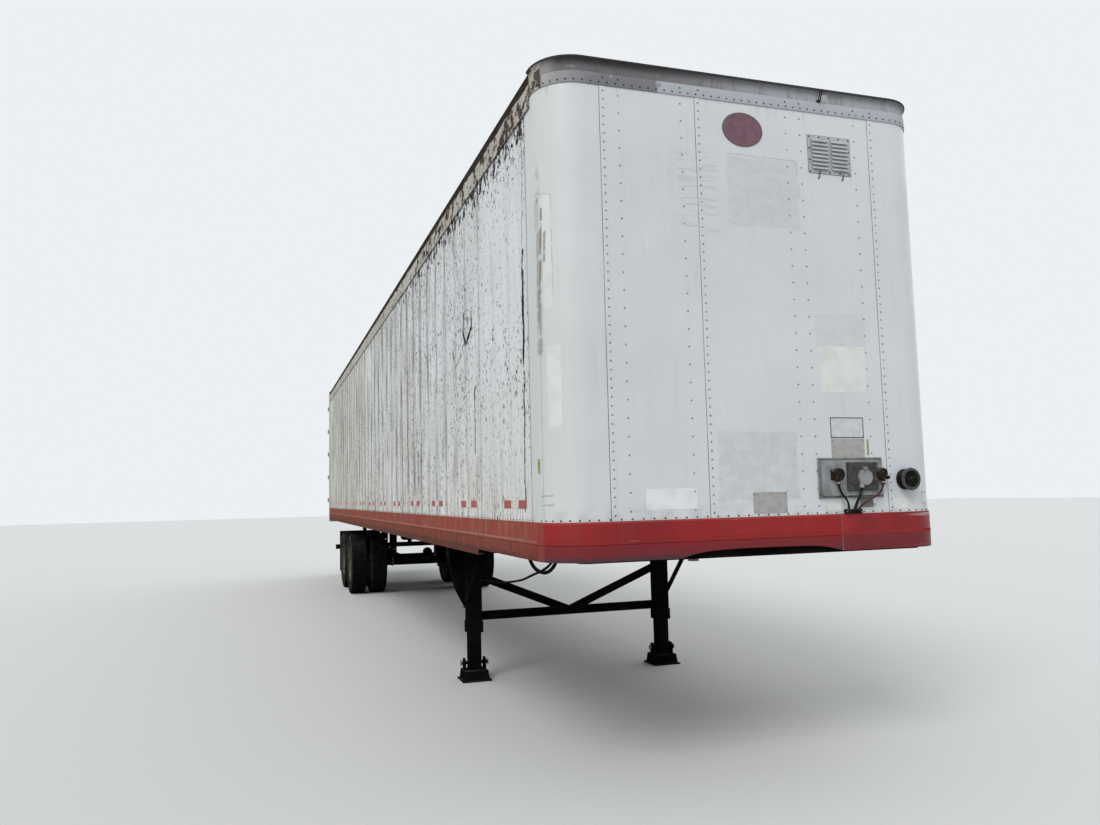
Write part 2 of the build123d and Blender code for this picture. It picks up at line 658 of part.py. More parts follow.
# Struts from the outer faces of the legs forward and up to the cross members
with BuildPart() as leg_struts:
    strut_top = LEG_Y - STRUT_REACH * MEMBER_PITCH
    for x in (-LEG_X - LEG_OUTER / 2 - STRUT_THICKNESS, LEG_X + LEG_OUTER / 2):
        with BuildSketch(Plane.YZ.offset(x)):
            with BuildLine():
                Line((LEG_Y, STRUT_LEVEL), (strut_top, MEMBER_BOTTOM - STRUT_WIDTH / 2))
            trace(line_width=STRUT_WIDTH)
        extrude(amount=STRUT_THICKNESS)
        with Locations((x + STRUT_THICKNESS / 2, strut_top, MEMBER_BOTTOM - WING_THICKNESS / 2)):
            Box(STRUT_FOOT, MEMBER_PITCH + MEMBER_WIDTH, WING_THICKNESS)
save(leg_struts, "leg_struts")

with BuildPart() as leg_tubes:
    for x in (-LEG_X, LEG_X):
        with BuildSketch(Plane.XY.offset(SHOE_HEIGHT)):
            with Locations((x, LEG_Y)):
                Rectangle(LEG_INNER, LEG_INNER)
                Rectangle(LEG_INNER - 2 * LEG_INNER_WALL, LEG_INNER - 2 * LEG_INNER_WALL, mode=Mode.SUBTRACT)
        extrude(amount=COLLAR_BOTTOM + LEG_INSERT - SHOE_HEIGHT)
        with BuildSketch(Plane.XY):
            with Locations((x, LEG_Y)):
                Rectangle(SHOE_SIZE, SHOE_SIZE)
        extrude(amount=SHOE_PLATE)
        with BuildSketch(Plane.XY.offset(SHOE_PLATE)):
            with Locations((x, LEG_Y)):
                Rectangle(SHOE_SIZE - 2 * SHOE_STEP, SHOE_SIZE - 2 * SHOE_STEP)
        with BuildSketch(Plane.XY.offset(SHOE_HEIGHT)):
            with Locations((x, LEG_Y)):
                Rectangle(SHOE_TOP_SIZE, SHOE_TOP_SIZE)
        loft()
        for side in (-1, 1):
            with BuildSketch(Plane.YZ.offset(x + side * (LEG_INNER / 2 + SHOE_EAR_GAP))):
                with Locations((LEG_Y, (SHOE_EAR_TOP + SHOE_PLATE) / 2)):
                    RectangleRounded(SHOE_EAR_WIDTH, SHOE_EAR_TOP - SHOE_PLATE, SHOE_EAR_ROUND)
            extrude(amount=side * SHOE_EAR)
        with Locations((x, LEG_Y, SHOE_BOLT_LEVEL)):
            Cylinder(SHOE_BOLT_RADIUS, SHOE_BOLT_LENGTH, rotation=(0, 90, 0))
save(leg_tubes, "leg_tubes")

BRACE_END = LEG_X - LEG_OUTER / 2
with BuildPart() as leg_braces:
    with BuildSketch(Plane.YZ.offset(-BRACE_END)):
        with Locations((LEG_Y, BRACE_LEVEL)):
            Rectangle(BRACE_DEPTH, BRACE_HEIGHT)
        with Locations((LEG_Y - BRACE_WALL, BRACE_LEVEL)):
            Rectangle(BRACE_DEPTH, BRACE_HEIGHT - 2 * BRACE_WALL, mode=Mode.SUBTRACT)
    extrude(amount=2 * BRACE_END)
    with BuildSketch(across(LEG_Y + BRACE_DEPTH / 2 + DIAGONAL_DEPTH)):
        for sign in (-1, 1):
            with BuildLine():
                Polyline((sign * BRACE_END, DIAGONAL_TOP + DIAGONAL_WIDTH),
                         (sign * BRACE_END, DIAGONAL_TOP), (0, BRACE_LEVEL - DIAGONAL_WIDTH / 2),
                         (0, BRACE_LEVEL + DIAGONAL_WIDTH / 2), close=True)
            make_face()
    extrude(amount=DIAGONAL_DEPTH)
save(leg_braces, "leg_braces")

with BuildPart() as crank_gear:
    with Locations((BRACE_END - GEARBOX_SIZE[0] / 2, LEG_Y, CRANK_LEVEL)):
        Box(*GEARBOX_SIZE)
    with Locations((GEAR_COVER_SIZE[0] / 2 - BRACE_END, LEG_Y, CRANK_LEVEL)):
        Box(*GEAR_COVER_SIZE)
    fillet(crank_gear.edges().filter_by(Axis.X), radius=GEARBOX_ROUND)
    with BuildSketch(Plane.YZ.offset(GEAR_COVER_SIZE[0] / 2 - BRACE_END)):
        with Locations((LEG_Y, CRANK_LEVEL)):
            Circle(CROSS_SHAFT_RADIUS)
    extrude(amount=2 * BRACE_END - GEARBOX_SIZE[0])
save(crank_gear, "crank_gear")

with BuildPart() as crank_handle:
    with BuildLine() as bent_rod:
        FilletPolyline((LEG_X + LEG_OUTER / 2, LEG_Y, CRANK_LEVEL), (CRANK_REACH, LEG_Y, CRANK_LEVEL),
                       (CRANK_REACH, LEG_Y + CRANK_ARM, CRANK_LEVEL),
                       (CRANK_REACH - CRANK_GRIP, LEG_Y + CRANK_ARM, CRANK_LEVEL), radius=CRANK_BEND)
    with BuildSketch(Plane(origin=bent_rod.line @ 0, z_dir=bent_rod.line % 0)):
        Circle(CRANK_RADIUS)
    sweep(path=bent_rod.line)
save(crank_handle, "crank_handle")

# Rails that the tandem slides along, with their row of lock-pin holes
SLIDE_RAIL_HEIGHT = MEMBER_BOTTOM - SLIDE_RAIL_BOTTOM
LOCK_HOLE_LEVEL = (SLIDE_RAIL_BOTTOM + MEMBER_BOTTOM) / 2
with BuildPart() as slide_rails:
    for sign in (-1, 1):
        with BuildSketch(across(SLIDE_RAIL_BACK)):
            with Locations((sign * (SLIDE_RAIL_X + SLIDE_RAIL_WALL / 2), LOCK_HOLE_LEVEL)):
                Rectangle(SLIDE_RAIL_WALL, SLIDE_RAIL_HEIGHT)
            with Locations((sign * (SLIDE_RAIL_X + SLIDE_RAIL_WALL - SLIDE_RAIL_FLANGE / 2),
                            MEMBER_BOTTOM - SLIDE_RAIL_WALL / 2)):
                Rectangle(SLIDE_RAIL_FLANGE, SLIDE_RAIL_WALL)
            with Locations((sign * (SLIDE_RAIL_X + SLIDE_RAIL_LIP / 2),
                            SLIDE_RAIL_BOTTOM + SLIDE_RAIL_WALL / 2)):
                Rectangle(SLIDE_RAIL_LIP, SLIDE_RAIL_WALL)
        extrude(amount=SLIDE_RAIL_BACK - SLIDE_RAIL_FRONT)
    with BuildSketch(Plane.YZ):
        with Locations((BOGIE_Y + LOCK_ROW_SHIFT, LOCK_HOLE_LEVEL)):
            with GridLocations(LOCK_HOLE_PITCH, 0, LOCK_HOLE_COUNT, 1):
                Circle(LOCK_HOLE_RADIUS)
    extrude(amount=SIDE, both=True, mode=Mode.SUBTRACT)
save(slide_rails, "slide_rails")

# Bogie frame: two channels joined by tubes, spring hangers, flap arms and tank saddles
SPRING_RADIUS = (SPRING_SPAN ** 2 / 4 + SPRING_CAMBER ** 2) / (2 * SPRING_CAMBER)
SPRING_SEAT = TYRE_RADIUS + AXLE_RADIUS + SEAT_HEIGHT
LEAF_STACK = LEAF_COUNT * LEAF_THICKNESS
LEAF_ANGLE = degrees(asin(SPRING_SPAN / 2 / SPRING_RADIUS))
SPRING_CENTRE = SPRING_SEAT + LEAF_STACK + SPRING_RADIUS
SPRING_END_TOP = SPRING_SEAT + LEAF_STACK + SPRING_CAMBER
HANGER_BOTTOM = BOGIE_RAIL_BOTTOM - HANGER_DROP
HANGER_REACH = (AXLE_SPREAD + SPRING_SPAN) / 2
BOGIE_LEVEL = BOGIE_RAIL_BOTTOM + BOGIE_RAIL_HEIGHT / 2
BOGIE_RAIL_MID = BOGIE_RAIL_OUTER - BOGIE_RAIL_WIDTH / 2
FLAP_Y = AXLE_PLACES[1][1] + TYRE_RADIUS + FLAP_SETBACK
FLAP_ARM_Y = FLAP_Y - FLAP_ARM_DEPTH / 2
TANK_Y = BOGIE_Y + BOGIE_TUBE_PLACES[1]
TANK_LEVEL = BOGIE_LEVEL - BOGIE_TUBE_RADIUS - TANK_RADIUS
HANGERS = ((-HANGER_REACH, SPRING_END_TOP), (0, SPRING_END_TOP + EQUALIZER_ROOM),
           (HANGER_REACH, SPRING_END_TOP))
with BuildPart() as bogie_frame:
    for sign in (-1, 1):
        with BuildSketch(across(BOGIE_Y + BOGIE_LENGTH / 2)):
            with Locations((sign * BOGIE_RAIL_MID, BOGIE_LEVEL)):
                Rectangle(BOGIE_RAIL_WIDTH, BOGIE_RAIL_HEIGHT)
            with Locations((sign * (BOGIE_RAIL_MID - BOGIE_RAIL_WALL), BOGIE_LEVEL)):
                Rectangle(BOGIE_RAIL_WIDTH, BOGIE_RAIL_HEIGHT - 2 * BOGIE_RAIL_WALL, mode=Mode.SUBTRACT)
        extrude(amount=BOGIE_LENGTH)
    with BuildSketch(Plane.YZ.offset(BOGIE_RAIL_WALL - BOGIE_RAIL_OUTER)):
        for place in BOGIE_TUBE_PLACES:
            with Locations((BOGIE_Y + place, BOGIE_LEVEL)):
                Circle(BOGIE_TUBE_RADIUS)
    extrude(amount=2 * (BOGIE_RAIL_OUTER - BOGIE_RAIL_WALL))
    for sign in (-1, 1):
        with BuildSketch(Plane.YZ.offset(sign * SPRING_X - HANGER_WIDTH / 2)):
            for place, _ in HANGERS:
                with BuildLine():
                    Polyline((BOGIE_Y + place - HANGER_TOP / 2, BOGIE_RAIL_BOTTOM),
                             (BOGIE_Y + place + HANGER_TOP / 2, BOGIE_RAIL_BOTTOM),
                             (BOGIE_Y + place + HANGER_FOOT / 2, HANGER_BOTTOM),
                             (BOGIE_Y + place - HANGER_FOOT / 2, HANGER_BOTTOM), close=True)
                make_face()
        extrude(amount=HANGER_WIDTH)
        for place, mouth in HANGERS:
            with Locations((sign * SPRING_X, BOGIE_Y + place, (HANGER_BOTTOM + mouth) / 2)):
                Box(HANGER_WIDTH - 2 * HANGER_WALL, HANGER_TOP, mouth - HANGER_BOTTOM, mode=Mode.SUBTRACT)
        with Locations((sign * BOGIE_RAIL_MID, FLAP_ARM_Y, (BOGIE_RAIL_BOTTOM + FLAP_TOP) / 2)):
            Box(FLAP_ARM_DEPTH, FLAP_ARM_DEPTH, BOGIE_RAIL_BOTTOM - FLAP_TOP)
        with Locations((sign * (BOGIE_RAIL_MID + TYRE_OUTER_FACE) / 2, FLAP_ARM_Y, FLAP_TOP)):
            Box(TYRE_OUTER_FACE - BOGIE_RAIL_MID, FLAP_ARM_DEPTH, FLAP_ARM_HEIGHT)
        with Locations((sign * TANK_LENGTH / 3, TANK_Y, (TANK_LEVEL + BOGIE_LEVEL) / 2)):
            Box(HANGER_WALL, 2 * TANK_RADIUS, BOGIE_LEVEL - TANK_LEVEL)
    with BuildSketch(Plane.YZ):
        with Locations((TANK_Y, TANK_LEVEL)):
            Circle(TANK_RADIUS)
    extrude(amount=TANK_LENGTH / 2, both=True, mode=Mode.SUBTRACT)
save(bogie_frame, "bogie_frame")

with BuildPart() as air_tank:
    with BuildSketch(Plane.YZ.offset(-TANK_LENGTH / 2)):
        with Locations((TANK_Y, TANK_LEVEL)):
            Circle(TANK_RADIUS)
    extrude(amount=TANK_LENGTH)
    fillet(air_tank.edges().filter_by(GeomType.CIRCLE), radius=TANK_RADIUS / 2)
save(air_tank, "air_tank")

with BuildPart() as mud_flaps:
    with BuildSketch(across(FLAP_Y + FLAP_THICKNESS)):
        for sign in (-1, 1):
            with Locations((sign * (TYRE_OUTER_FACE - FLAP_WIDTH / 2), (FLAP_BOTTOM + FLAP_TOP) / 2)):
                Rectangle(FLAP_WIDTH, FLAP_TOP - FLAP_BOTTOM)
    extrude(amount=FLAP_THICKNESS)
save(mud_flaps, "mud_flaps")

# Leaf springs: concentric arcs, each leaf shorter than the one above it
with BuildPart() as leaf_springs:
    for sign in (-1, 1):
        with BuildSketch(Plane.YZ.offset(sign * SPRING_X - LEAF_WIDTH / 2)):
            for _, place in AXLE_PLACES:
                for i in range(LEAF_COUNT):
                    radius = SPRING_RADIUS + (i + 0.5) * LEAF_THICKNESS
                    half_angle = LEAF_ANGLE * (1 - i * LEAF_STEP)
                    with BuildLine():
                        CenterArc((place, SPRING_CENTRE), radius, 270 - half_angle, 2 * half_angle)
                    trace(line_width=LEAF_THICKNESS)
        extrude(amount=LEAF_WIDTH)
save(leaf_springs, "leaf_springs")

with BuildPart() as equalizers:
    for sign in (-1, 1):
        with BuildSketch(Plane.YZ.offset(sign * SPRING_X - EQUALIZER_WIDTH / 2)):
            with BuildLine():
                Polyline((BOGIE_Y - EQUALIZER_HALF, SPRING_END_TOP),
                         (BOGIE_Y + EQUALIZER_HALF, SPRING_END_TOP),
                         (BOGIE_Y + EQUALIZER_HALF, SPRING_END_TOP + EQUALIZER_TIP),
                         (BOGIE_Y, SPRING_END_TOP + EQUALIZER_PEAK),
                         (BOGIE_Y - EQUALIZER_HALF, SPRING_END_TOP + EQUALIZER_TIP), close=True)
            make_face()
        extrude(amount=EQUALIZER_WIDTH)
        with Locations((sign * SPRING_X, BOGIE_Y, SPRING_END_TOP + EQUALIZER_TIP)):
            Cylinder(EQUALIZER_TIP, HANGER_WIDTH - 2 * HANGER_WALL, rotation=(0, 90, 0))
save(equalizers, "equalizers")

# Torque arms: each from an eye in a hanger's foot to the front of an axle's spring seat
TORQUE_EYE_LEVEL = HANGER_BOTTOM + TORQUE_EYE_RISE
with BuildPart() as torque_arms:
    for sign in (-1, 1):
        for (_, place), (hanger, _) in zip(AXLE_PLACES, HANGERS):
            eye = BOGIE_Y + hanger
            seat = place - SEAT_LENGTH / 2
            with BuildSketch(Plane.YZ.offset(sign * SPRING_X - TORQUE_ARM_WIDTH / 2)):
                with BuildLine():
                    Polyline((eye, TORQUE_EYE_LEVEL + TORQUE_ARM_HEIGHT / 2),
                             (seat, TORQUE_SEAT_LEVEL + TORQUE_ARM_HEIGHT / 2),
                             (seat, TORQUE_SEAT_LEVEL - TORQUE_ARM_HEIGHT / 2),
                             (eye, TORQUE_EYE_LEVEL - TORQUE_ARM_HEIGHT / 2), close=True)
                make_face()
                with Locations((eye, TORQUE_EYE_LEVEL)):
                    Circle(TORQUE_EYE_RADIUS)
            extrude(amount=TORQUE_ARM_WIDTH)
            with Locations((sign * SPRING_X, eye, TORQUE_EYE_LEVEL)):
                Cylinder(EQUALIZER_TIP, HANGER_WIDTH - 2 * HANGER_WALL, rotation=(0, 90, 0))
save(torque_arms, "torque_arms")

# Axles with spring seats, dust shields and brake chambers
DRUM_BACK = WHEEL_MID_X - DISC_WALL - DRUM_WALL
SHIELD_X = DRUM_BACK - DRUM_LENGTH - SHIELD_GAP
HUB_INNER_X = WHEEL_MID_X + HUB_OVERHANG - HUB_LENGTH
HUB_OUTER_X = WHEEL_MID_X + HUB_OVERHANG
SEAT_WIDTH = LEAF_WIDTH + 2 * HANGER_WALL
with BuildPart() as axles:
    for _, place in AXLE_PLACES:
        for end, radius in ((HUB_INNER_X, AXLE_RADIUS), (HUB_OUTER_X, SPINDLE_RADIUS)):
            with Locations((0, place, TYRE_RADIUS)):
                Cylinder(radius, 2 * (end - 2 * BEARING_CLEARANCE), rotation=(0, 90, 0))
        for sign in (-1, 1):
            with Locations((sign * (SHIELD_X - SHIELD_WALL / 2), place, TYRE_RADIUS)):
                Cylinder(DRUM_RADIUS - DRUM_WALL, SHIELD_WALL, rotation=(0, 90, 0))
            with Locations((sign * SPRING_X, place, (SPRING_SEAT + SEAT_LAP + TYRE_RADIUS) / 2)):
                Box(SEAT_WIDTH, SEAT_LENGTH, SPRING_SEAT + SEAT_LAP - TYRE_RADIUS)
            with BuildSketch(Plane.YZ.offset(sign * SPRING_X - SEAT_WIDTH / 2)):
                with Locations((place, SPRING_CENTRE)):
                    Circle(SPRING_RADIUS + LEAF_STACK)
            extrude(amount=SEAT_WIDTH, mode=Mode.SUBTRACT)
            with Locations((sign * BRAKE_X, place + BRAKE_REACH / 2, TYRE_RADIUS + AXLE_RADIUS)):
                Box(BRAKE_ARM, BRAKE_REACH, BRAKE_ARM)
            with BuildSketch(across(place + BRAKE_REACH + BRAKE_LENGTH)):
                with Locations((sign * BRAKE_X, TYRE_RADIUS + AXLE_RADIUS)):
                    Circle(BRAKE_RADIUS)
            extrude(amount=BRAKE_LENGTH)
save(axles, "axles")

# Dual wheels: hub, drum, two rims and their dished discs in one piece, and two tyres
HUB_SECTION = ((HUB_INNER_X, SPINDLE_RADIUS + BEARING_CLEARANCE), (HUB_INNER_X, HUB_RADIUS),
               (HUB_OUTER_X, HUB_RADIUS - DRUM_WALL), (HUB_OUTER_X, HUB_CAP_RADIUS),
               (HUB_OUTER_X + HUB_CAP_LENGTH, HUB_CAP_RADIUS - DRUM_WALL), (HUB_OUTER_X + HUB_CAP_LENGTH, 0),
               (HUB_OUTER_X, 0), (HUB_OUTER_X, SPINDLE_RADIUS + BEARING_CLEARANCE))
DRUM_SECTION = ((WHEEL_MID_X + DISC_WALL, HUB_RADIUS - DRUM_WALL), (WHEEL_MID_X + DISC_WALL, DRUM_RADIUS),
                (DRUM_BACK - DRUM_LENGTH, DRUM_RADIUS), (DRUM_BACK - DRUM_LENGTH, DRUM_RADIUS - DRUM_WALL),
                (DRUM_BACK, DRUM_RADIUS - DRUM_WALL), (DRUM_BACK, HUB_RADIUS - DRUM_WALL))
RIM_TABLE = ((WHEEL_OUTER_X, 1), (WHEEL_INNER_X, -1))
TYRE_HEIGHT = TYRE_RADIUS - RIM_RADIUS
TYRE_SECTION = [(TYRE_WIDTH / 2 * out, RIM_RADIUS + TYRE_HEIGHT * up) for out, up in TYRE_PROFILE]
TYRE_SECTION += [(-half, radius) for half, radius in TYRE_SECTION[::-1]]
for axle_name, place in AXLE_PLACES:
    for name, sign in SIDES:
        hub_axis = Axis((0, place, TYRE_RADIUS), (1, 0, 0))
        half_plane = Plane(origin=(0, place, TYRE_RADIUS), x_dir=(sign, 0, 0), z_dir=(0, -sign, 0))
        with BuildPart() as wheel:
            with BuildSketch(half_plane):
                for section in (HUB_SECTION, DRUM_SECTION):
                    with BuildLine():
                        Polyline(*section, close=True)
                    make_face()
                for centre, out in RIM_TABLE:
                    with Locations((centre, RIM_RADIUS - RIM_WALL / 2)):
                        Rectangle(RIM_WIDTH, RIM_WALL)
                    with BuildLine():
                        Polyline((WHEEL_MID_X, DRUM_RADIUS - DRUM_WALL),
                                 (WHEEL_MID_X + out * DISC_WALL, DRUM_RADIUS - DRUM_WALL),
                                 (WHEEL_MID_X + out * (DISC_DISH + DISC_WALL), RIM_RADIUS - RIM_WALL / 2),
                                 (WHEEL_MID_X + out * DISC_DISH, RIM_RADIUS - RIM_WALL / 2),
                                 (WHEEL_MID_X, DRUM_RADIUS), close=True)
                    make_face()
            revolve(axis=hub_axis)
            with BuildSketch(Plane.YZ.offset(sign * WHEEL_MID_X)):
                with Locations((place, TYRE_RADIUS)):
                    with PolarLocations(HAND_HOLE_CIRCLE, HAND_HOLE_COUNT):
                        Circle(HAND_HOLE_RADIUS)
            extrude(amount=DISC_DISH + 2 * DISC_WALL, both=True, mode=Mode.SUBTRACT)
        save(wheel, f"wheel_{axle_name}_{name}")

        with BuildPart() as tyres:
            with BuildSketch(half_plane):
                for centre, _ in RIM_TABLE:
                    with BuildLine():
                        Polyline(*[(centre + offset, radius) for offset, radius in TYRE_SECTION], close=True)
                    make_face()
            revolve(axis=hub_axis)
        save(tyres, f"tyres_{axle_name}_{name}")

# Rear underride guard under the sill
with BuildPart() as underride_guard:
    guard_middle = REAR - GUARD_SETBACK - GUARD_TUBE / 2
    with Locations((0, guard_middle, GUARD_BOTTOM + GUARD_TUBE / 2)):
        Box(2 * GUARD_HALF_WIDTH, GUARD_TUBE, GUARD_TUBE)
    with BuildSketch(Plane.XY.offset(GUARD_BOTTOM + GUARD_TUBE)):
        with Locations((0, guard_middle)):
            with GridLocations(2 * GUARD_STRUT_X, 0, 2, 1):
                Rectangle(GUARD_STRUT_WIDTH, GUARD_TUBE)
    extrude(amount=SILL_BOTTOM - GUARD_BOTTOM - GUARD_TUBE)
save(underride_guard, "underride_guard")

# Louvred vent near the top of the front wall
column_width = (VENT_SIZE[0] - 3 * VENT_MARGIN) / 2
row_pitch = (VENT_SIZE[1] - 2 * VENT_MARGIN) / VENT_ROW_COUNT
louvre_root = WALL_FACE - VENT_PLATE + LOUVRE_WALL / 2
with BuildPart() as louvred_vent:
    with BuildSketch(across(WALL_FACE)):
        with Locations(VENT_CENTRE):
            RectangleRounded(*VENT_SIZE, VENT_MARGIN / 2)
    extrude(amount=VENT_PLATE)
    for column in (-1, 1):
        left = VENT_CENTRE[0] + column * (column_width + VENT_MARGIN) / 2 - column_width / 2
        with BuildSketch(Plane.YZ.offset(left)):
            for row in range(VENT_ROW_COUNT):
                level = VENT_CENTRE[1] + (row + 0.5 - VENT_ROW_COUNT / 2) * row_pitch
                with BuildLine():
                    ThreePointArc(*[(louvre_root + out * LOUVRE_PROUD, level + up * row_pitch)
                                    for out, up in LOUVRE_CURVE])
                trace(line_width=LOUVRE_WALL)
        extrude(amount=column_width)
save(louvred_vent, "louvred_vent")

# Connector box with its socket, the two air couplings and the leads' grommet
SPOUT_Y = WALL_FACE - (GLADHAND_REACH + CONNECTOR_DEPTH) / 2
GLAND_X = SOCKET_PLACE[0] - GLAND_SHIFT
GLAND_END = SOCKET_PLACE[1] - GLAND_LENGTH
with BuildPart() as connector_box:
    for inset, depth in ((0, CONNECTOR_FLANGE), (CONNECTOR_RIM, CONNECTOR_DEPTH)):
        with BuildSketch(across(WALL_FACE)):
            with Locations(CONNECTOR_CENTRE):
                RectangleRounded(CONNECTOR_SIZE[0] - 2 * inset, CONNECTOR_SIZE[1] - 2 * inset,
                                 CONNECTOR_ROUND)
        extrude(amount=depth)
    with BuildSketch(across(WALL_FACE)):
        with Locations(SOCKET_PLACE):
            Circle(SOCKET_RADIUS)
    extrude(amount=CONNECTOR_DEPTH + SOCKET_DEPTH)
    with BuildSketch(Plane.XY.offset(GLAND_END)):
        with Locations((GLAND_X, SPOUT_Y)):
            Circle(GLAND_RADIUS)
    extrude(amount=GLAND_LENGTH)
save(connector_box, "connector_box")

SPOUT_END = GLADHAND_LEVEL - GLADHAND_SIZE[1] / 2 - SPOUT_LENGTH
with BuildPart() as gladhands:
    with BuildSketch(across(WALL_FACE - CONNECTOR_DEPTH)):
        for place in GLADHAND_PLACES:
            with Locations((place, GLADHAND_LEVEL)):
                RectangleRounded(*GLADHAND_SIZE, GLADHAND_ROUND)
    extrude(amount=GLADHAND_REACH - CONNECTOR_DEPTH)
    with BuildSketch(Plane.XY.offset(SPOUT_END)):
        for place in GLADHAND_PLACES:
            with Locations((place, SPOUT_Y)):
                Circle(SPOUT_RADIUS)
    extrude(amount=SPOUT_LENGTH + GLADHAND_ROUND)
save(gladhands, "gladhands")

with BuildPart() as document_tube:
    with BuildSketch(across(WALL_FACE)):
        with Locations(TUBE_CENTRE):
            Circle(TUBE_RADIUS)
    extrude(amount=TUBE_LENGTH)
    with BuildSketch(across(WALL_FACE - TUBE_LENGTH + TUBE_CAP)):
        with Locations(TUBE_CENTRE):
            Circle(TUBE_RADIUS + TUBE_CAP_LIP)
    extrude(amount=TUBE_CAP)
save(document_tube, "document_tube")

with BuildPart() as lead_grommet:
    with Locations((GROMMET_PLACE, WALL_FACE - GROMMET_SIZE[2] / 2, RAIL_TOP + GROMMET_SIZE[1] / 2)):
        Box(GROMMET_SIZE[0], GROMMET_SIZE[2], GROMMET_SIZE[1])
save(lead_grommet, "lead_grommet")


def between(start, end, bends):
    """A cord's route from start to end, its bends given as shares of the way along X, Y and Z."""
    inner = [tuple(a + (b - a) * share for a, b, share in zip(start, end, bend)) for bend in bends]
    return [start, *inner, end]


def corner_radii(points):
    """The easiest arc that fits at each inner point of a cord's route."""
    radii = []
    for before, corner, after in zip(points, points[1:], points[2:]):
        run_in = Vector(corner) - Vector(before)
        run_out = Vector(after) - Vector(corner)
        turn = radians(run_in.get_angle(run_out))
        radii.append(CORNER_SHARE * min(run_in.length, run_out.length) / tan(turn / 2))
    return radii


# Leads from the connector box down into the grommet, the hose loop and the cable to the leg
GROMMET_TOP = RAIL_TOP + GROMMET_SIZE[1]
lead_y = WALL_FACE - LEAD_INSET
lead_ends = [(GROMMET_PLACE + shift, lead_y, GROMMET_TOP) for shift in LEAD_SHIFTS]
service_end, electric_end, emergency_end = lead_ends
service_spout, emergency_spout = [(place, SPOUT_Y, SPOUT_END) for place in GLADHAND_PLACES]
cable_back = LEG_Y - LEG_OUTER / 2
cable_nose = FRONT + CABLE_END[1]
cable_route = []
for i in range(CABLE_RUN_COUNT + 1):
    share = i / CABLE_RUN_COUNT
    x = CABLE_START[0] + (CABLE_END[0] - CABLE_START[0]) * ((1 - CABLE_BOW) * share + CABLE_BOW * share ** 2)
    z = CABLE_START[1] + (FLOOR_BOTTOM - CABLE_END[2] - CABLE_START[1]) * share
    sway = CABLE_SWAY * sin(4 * pi * share)
    sag = CABLE_SAG * sin(pi * share)
    cable_route.append((-x + sway, cable_back + (cable_nose - cable_back) * share, z - sag))
cable_route += [(-x, FRONT + back, FLOOR_BOTTOM - drop) for x, back, drop in CABLE_RISE]
CORDS = (
    ("lead_service", LEAD_RADIUS, between(service_spout, service_end, SERVICE_BENDS)),
    ("lead_electric", ELECTRIC_RADIUS, between((GLAND_X, SPOUT_Y, GLAND_END), electric_end, ELECTRIC_BENDS)),
    ("lead_emergency", LEAD_RADIUS, between(emergency_spout, emergency_end, EMERGENCY_BENDS)),
    ("nose_hose", HOSE_RADIUS, [(-x, FRONT + back, FLOOR_BOTTOM - drop) for x, back, drop in HOSE_TABLE]),
    ("leg_cable", CABLE_RADIUS, cable_route),
)
for name, radius, points in CORDS:
    tube_along(points, corner_radii(points), radius, name)
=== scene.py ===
import math
from itertools import product

import bmesh
import bpy
from bpy.props import FloatProperty, FloatVectorProperty, IntProperty, PointerProperty
from mathutils import Matrix, Vector


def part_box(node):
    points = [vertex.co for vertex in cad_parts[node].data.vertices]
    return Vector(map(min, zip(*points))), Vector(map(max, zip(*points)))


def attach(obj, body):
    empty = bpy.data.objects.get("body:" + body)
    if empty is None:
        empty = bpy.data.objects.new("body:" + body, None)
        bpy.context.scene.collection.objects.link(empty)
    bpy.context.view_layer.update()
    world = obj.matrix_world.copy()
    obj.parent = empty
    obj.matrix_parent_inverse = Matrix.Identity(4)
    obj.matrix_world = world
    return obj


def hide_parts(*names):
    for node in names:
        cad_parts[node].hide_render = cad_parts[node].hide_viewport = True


bl_info = {
    "name": "Box semi trailer",
    "version": (1, 0, 0),
    "blender": (4, 5, 0),
    "location": "3D View > Sidebar > Trailer",
    "description": "Dresses a packed two-axle box trailer with its sheets, rivets, fittings and finishes",
    "category": "Object",
}

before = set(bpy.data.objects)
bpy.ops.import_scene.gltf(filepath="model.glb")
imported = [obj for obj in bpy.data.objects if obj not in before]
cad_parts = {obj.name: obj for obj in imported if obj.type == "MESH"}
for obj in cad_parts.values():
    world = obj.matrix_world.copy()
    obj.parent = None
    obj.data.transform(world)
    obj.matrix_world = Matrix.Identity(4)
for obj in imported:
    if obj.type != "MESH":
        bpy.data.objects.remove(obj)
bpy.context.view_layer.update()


def middle(name):
    """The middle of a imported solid's box."""
    low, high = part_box(name)
    return (low + high) / 2


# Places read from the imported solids, in metres
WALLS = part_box("side_walls")
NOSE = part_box("front_wall")
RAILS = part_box("side_rails")
NOSE_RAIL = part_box("nose_rail")
TOP_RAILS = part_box("top_rails")
FRONT_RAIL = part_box("front_top_rail")
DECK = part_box("floor_deck")
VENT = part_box("louvred_vent")
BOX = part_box("connector_box")
REAR_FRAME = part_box("rear_frame")
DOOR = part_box("door_panel_road")
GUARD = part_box("underride_guard")
SIDE_FACE = WALLS[1].x
NOSE_FACE = NOSE[0].y
RAIL_TOP = RAILS[1].z
SIDE_RAIL_LOW = TOP_RAILS[0].z
FRONT_RAIL_LOW = FRONT_RAIL[0].z
AXLES = {"front": middle("tyres_front_road"), "rear": middle("tyres_rear_road")}

# The two sides by name, and the radius and middle of the arc round a nose corner
BODY_SIDES = (("curb", -1), ("road", 1))
SHELL_RADIUS = 0.233
CORNER_X = SIDE_FACE - SHELL_RADIUS
CORNER_Y = NOSE_FACE + SHELL_RADIUS

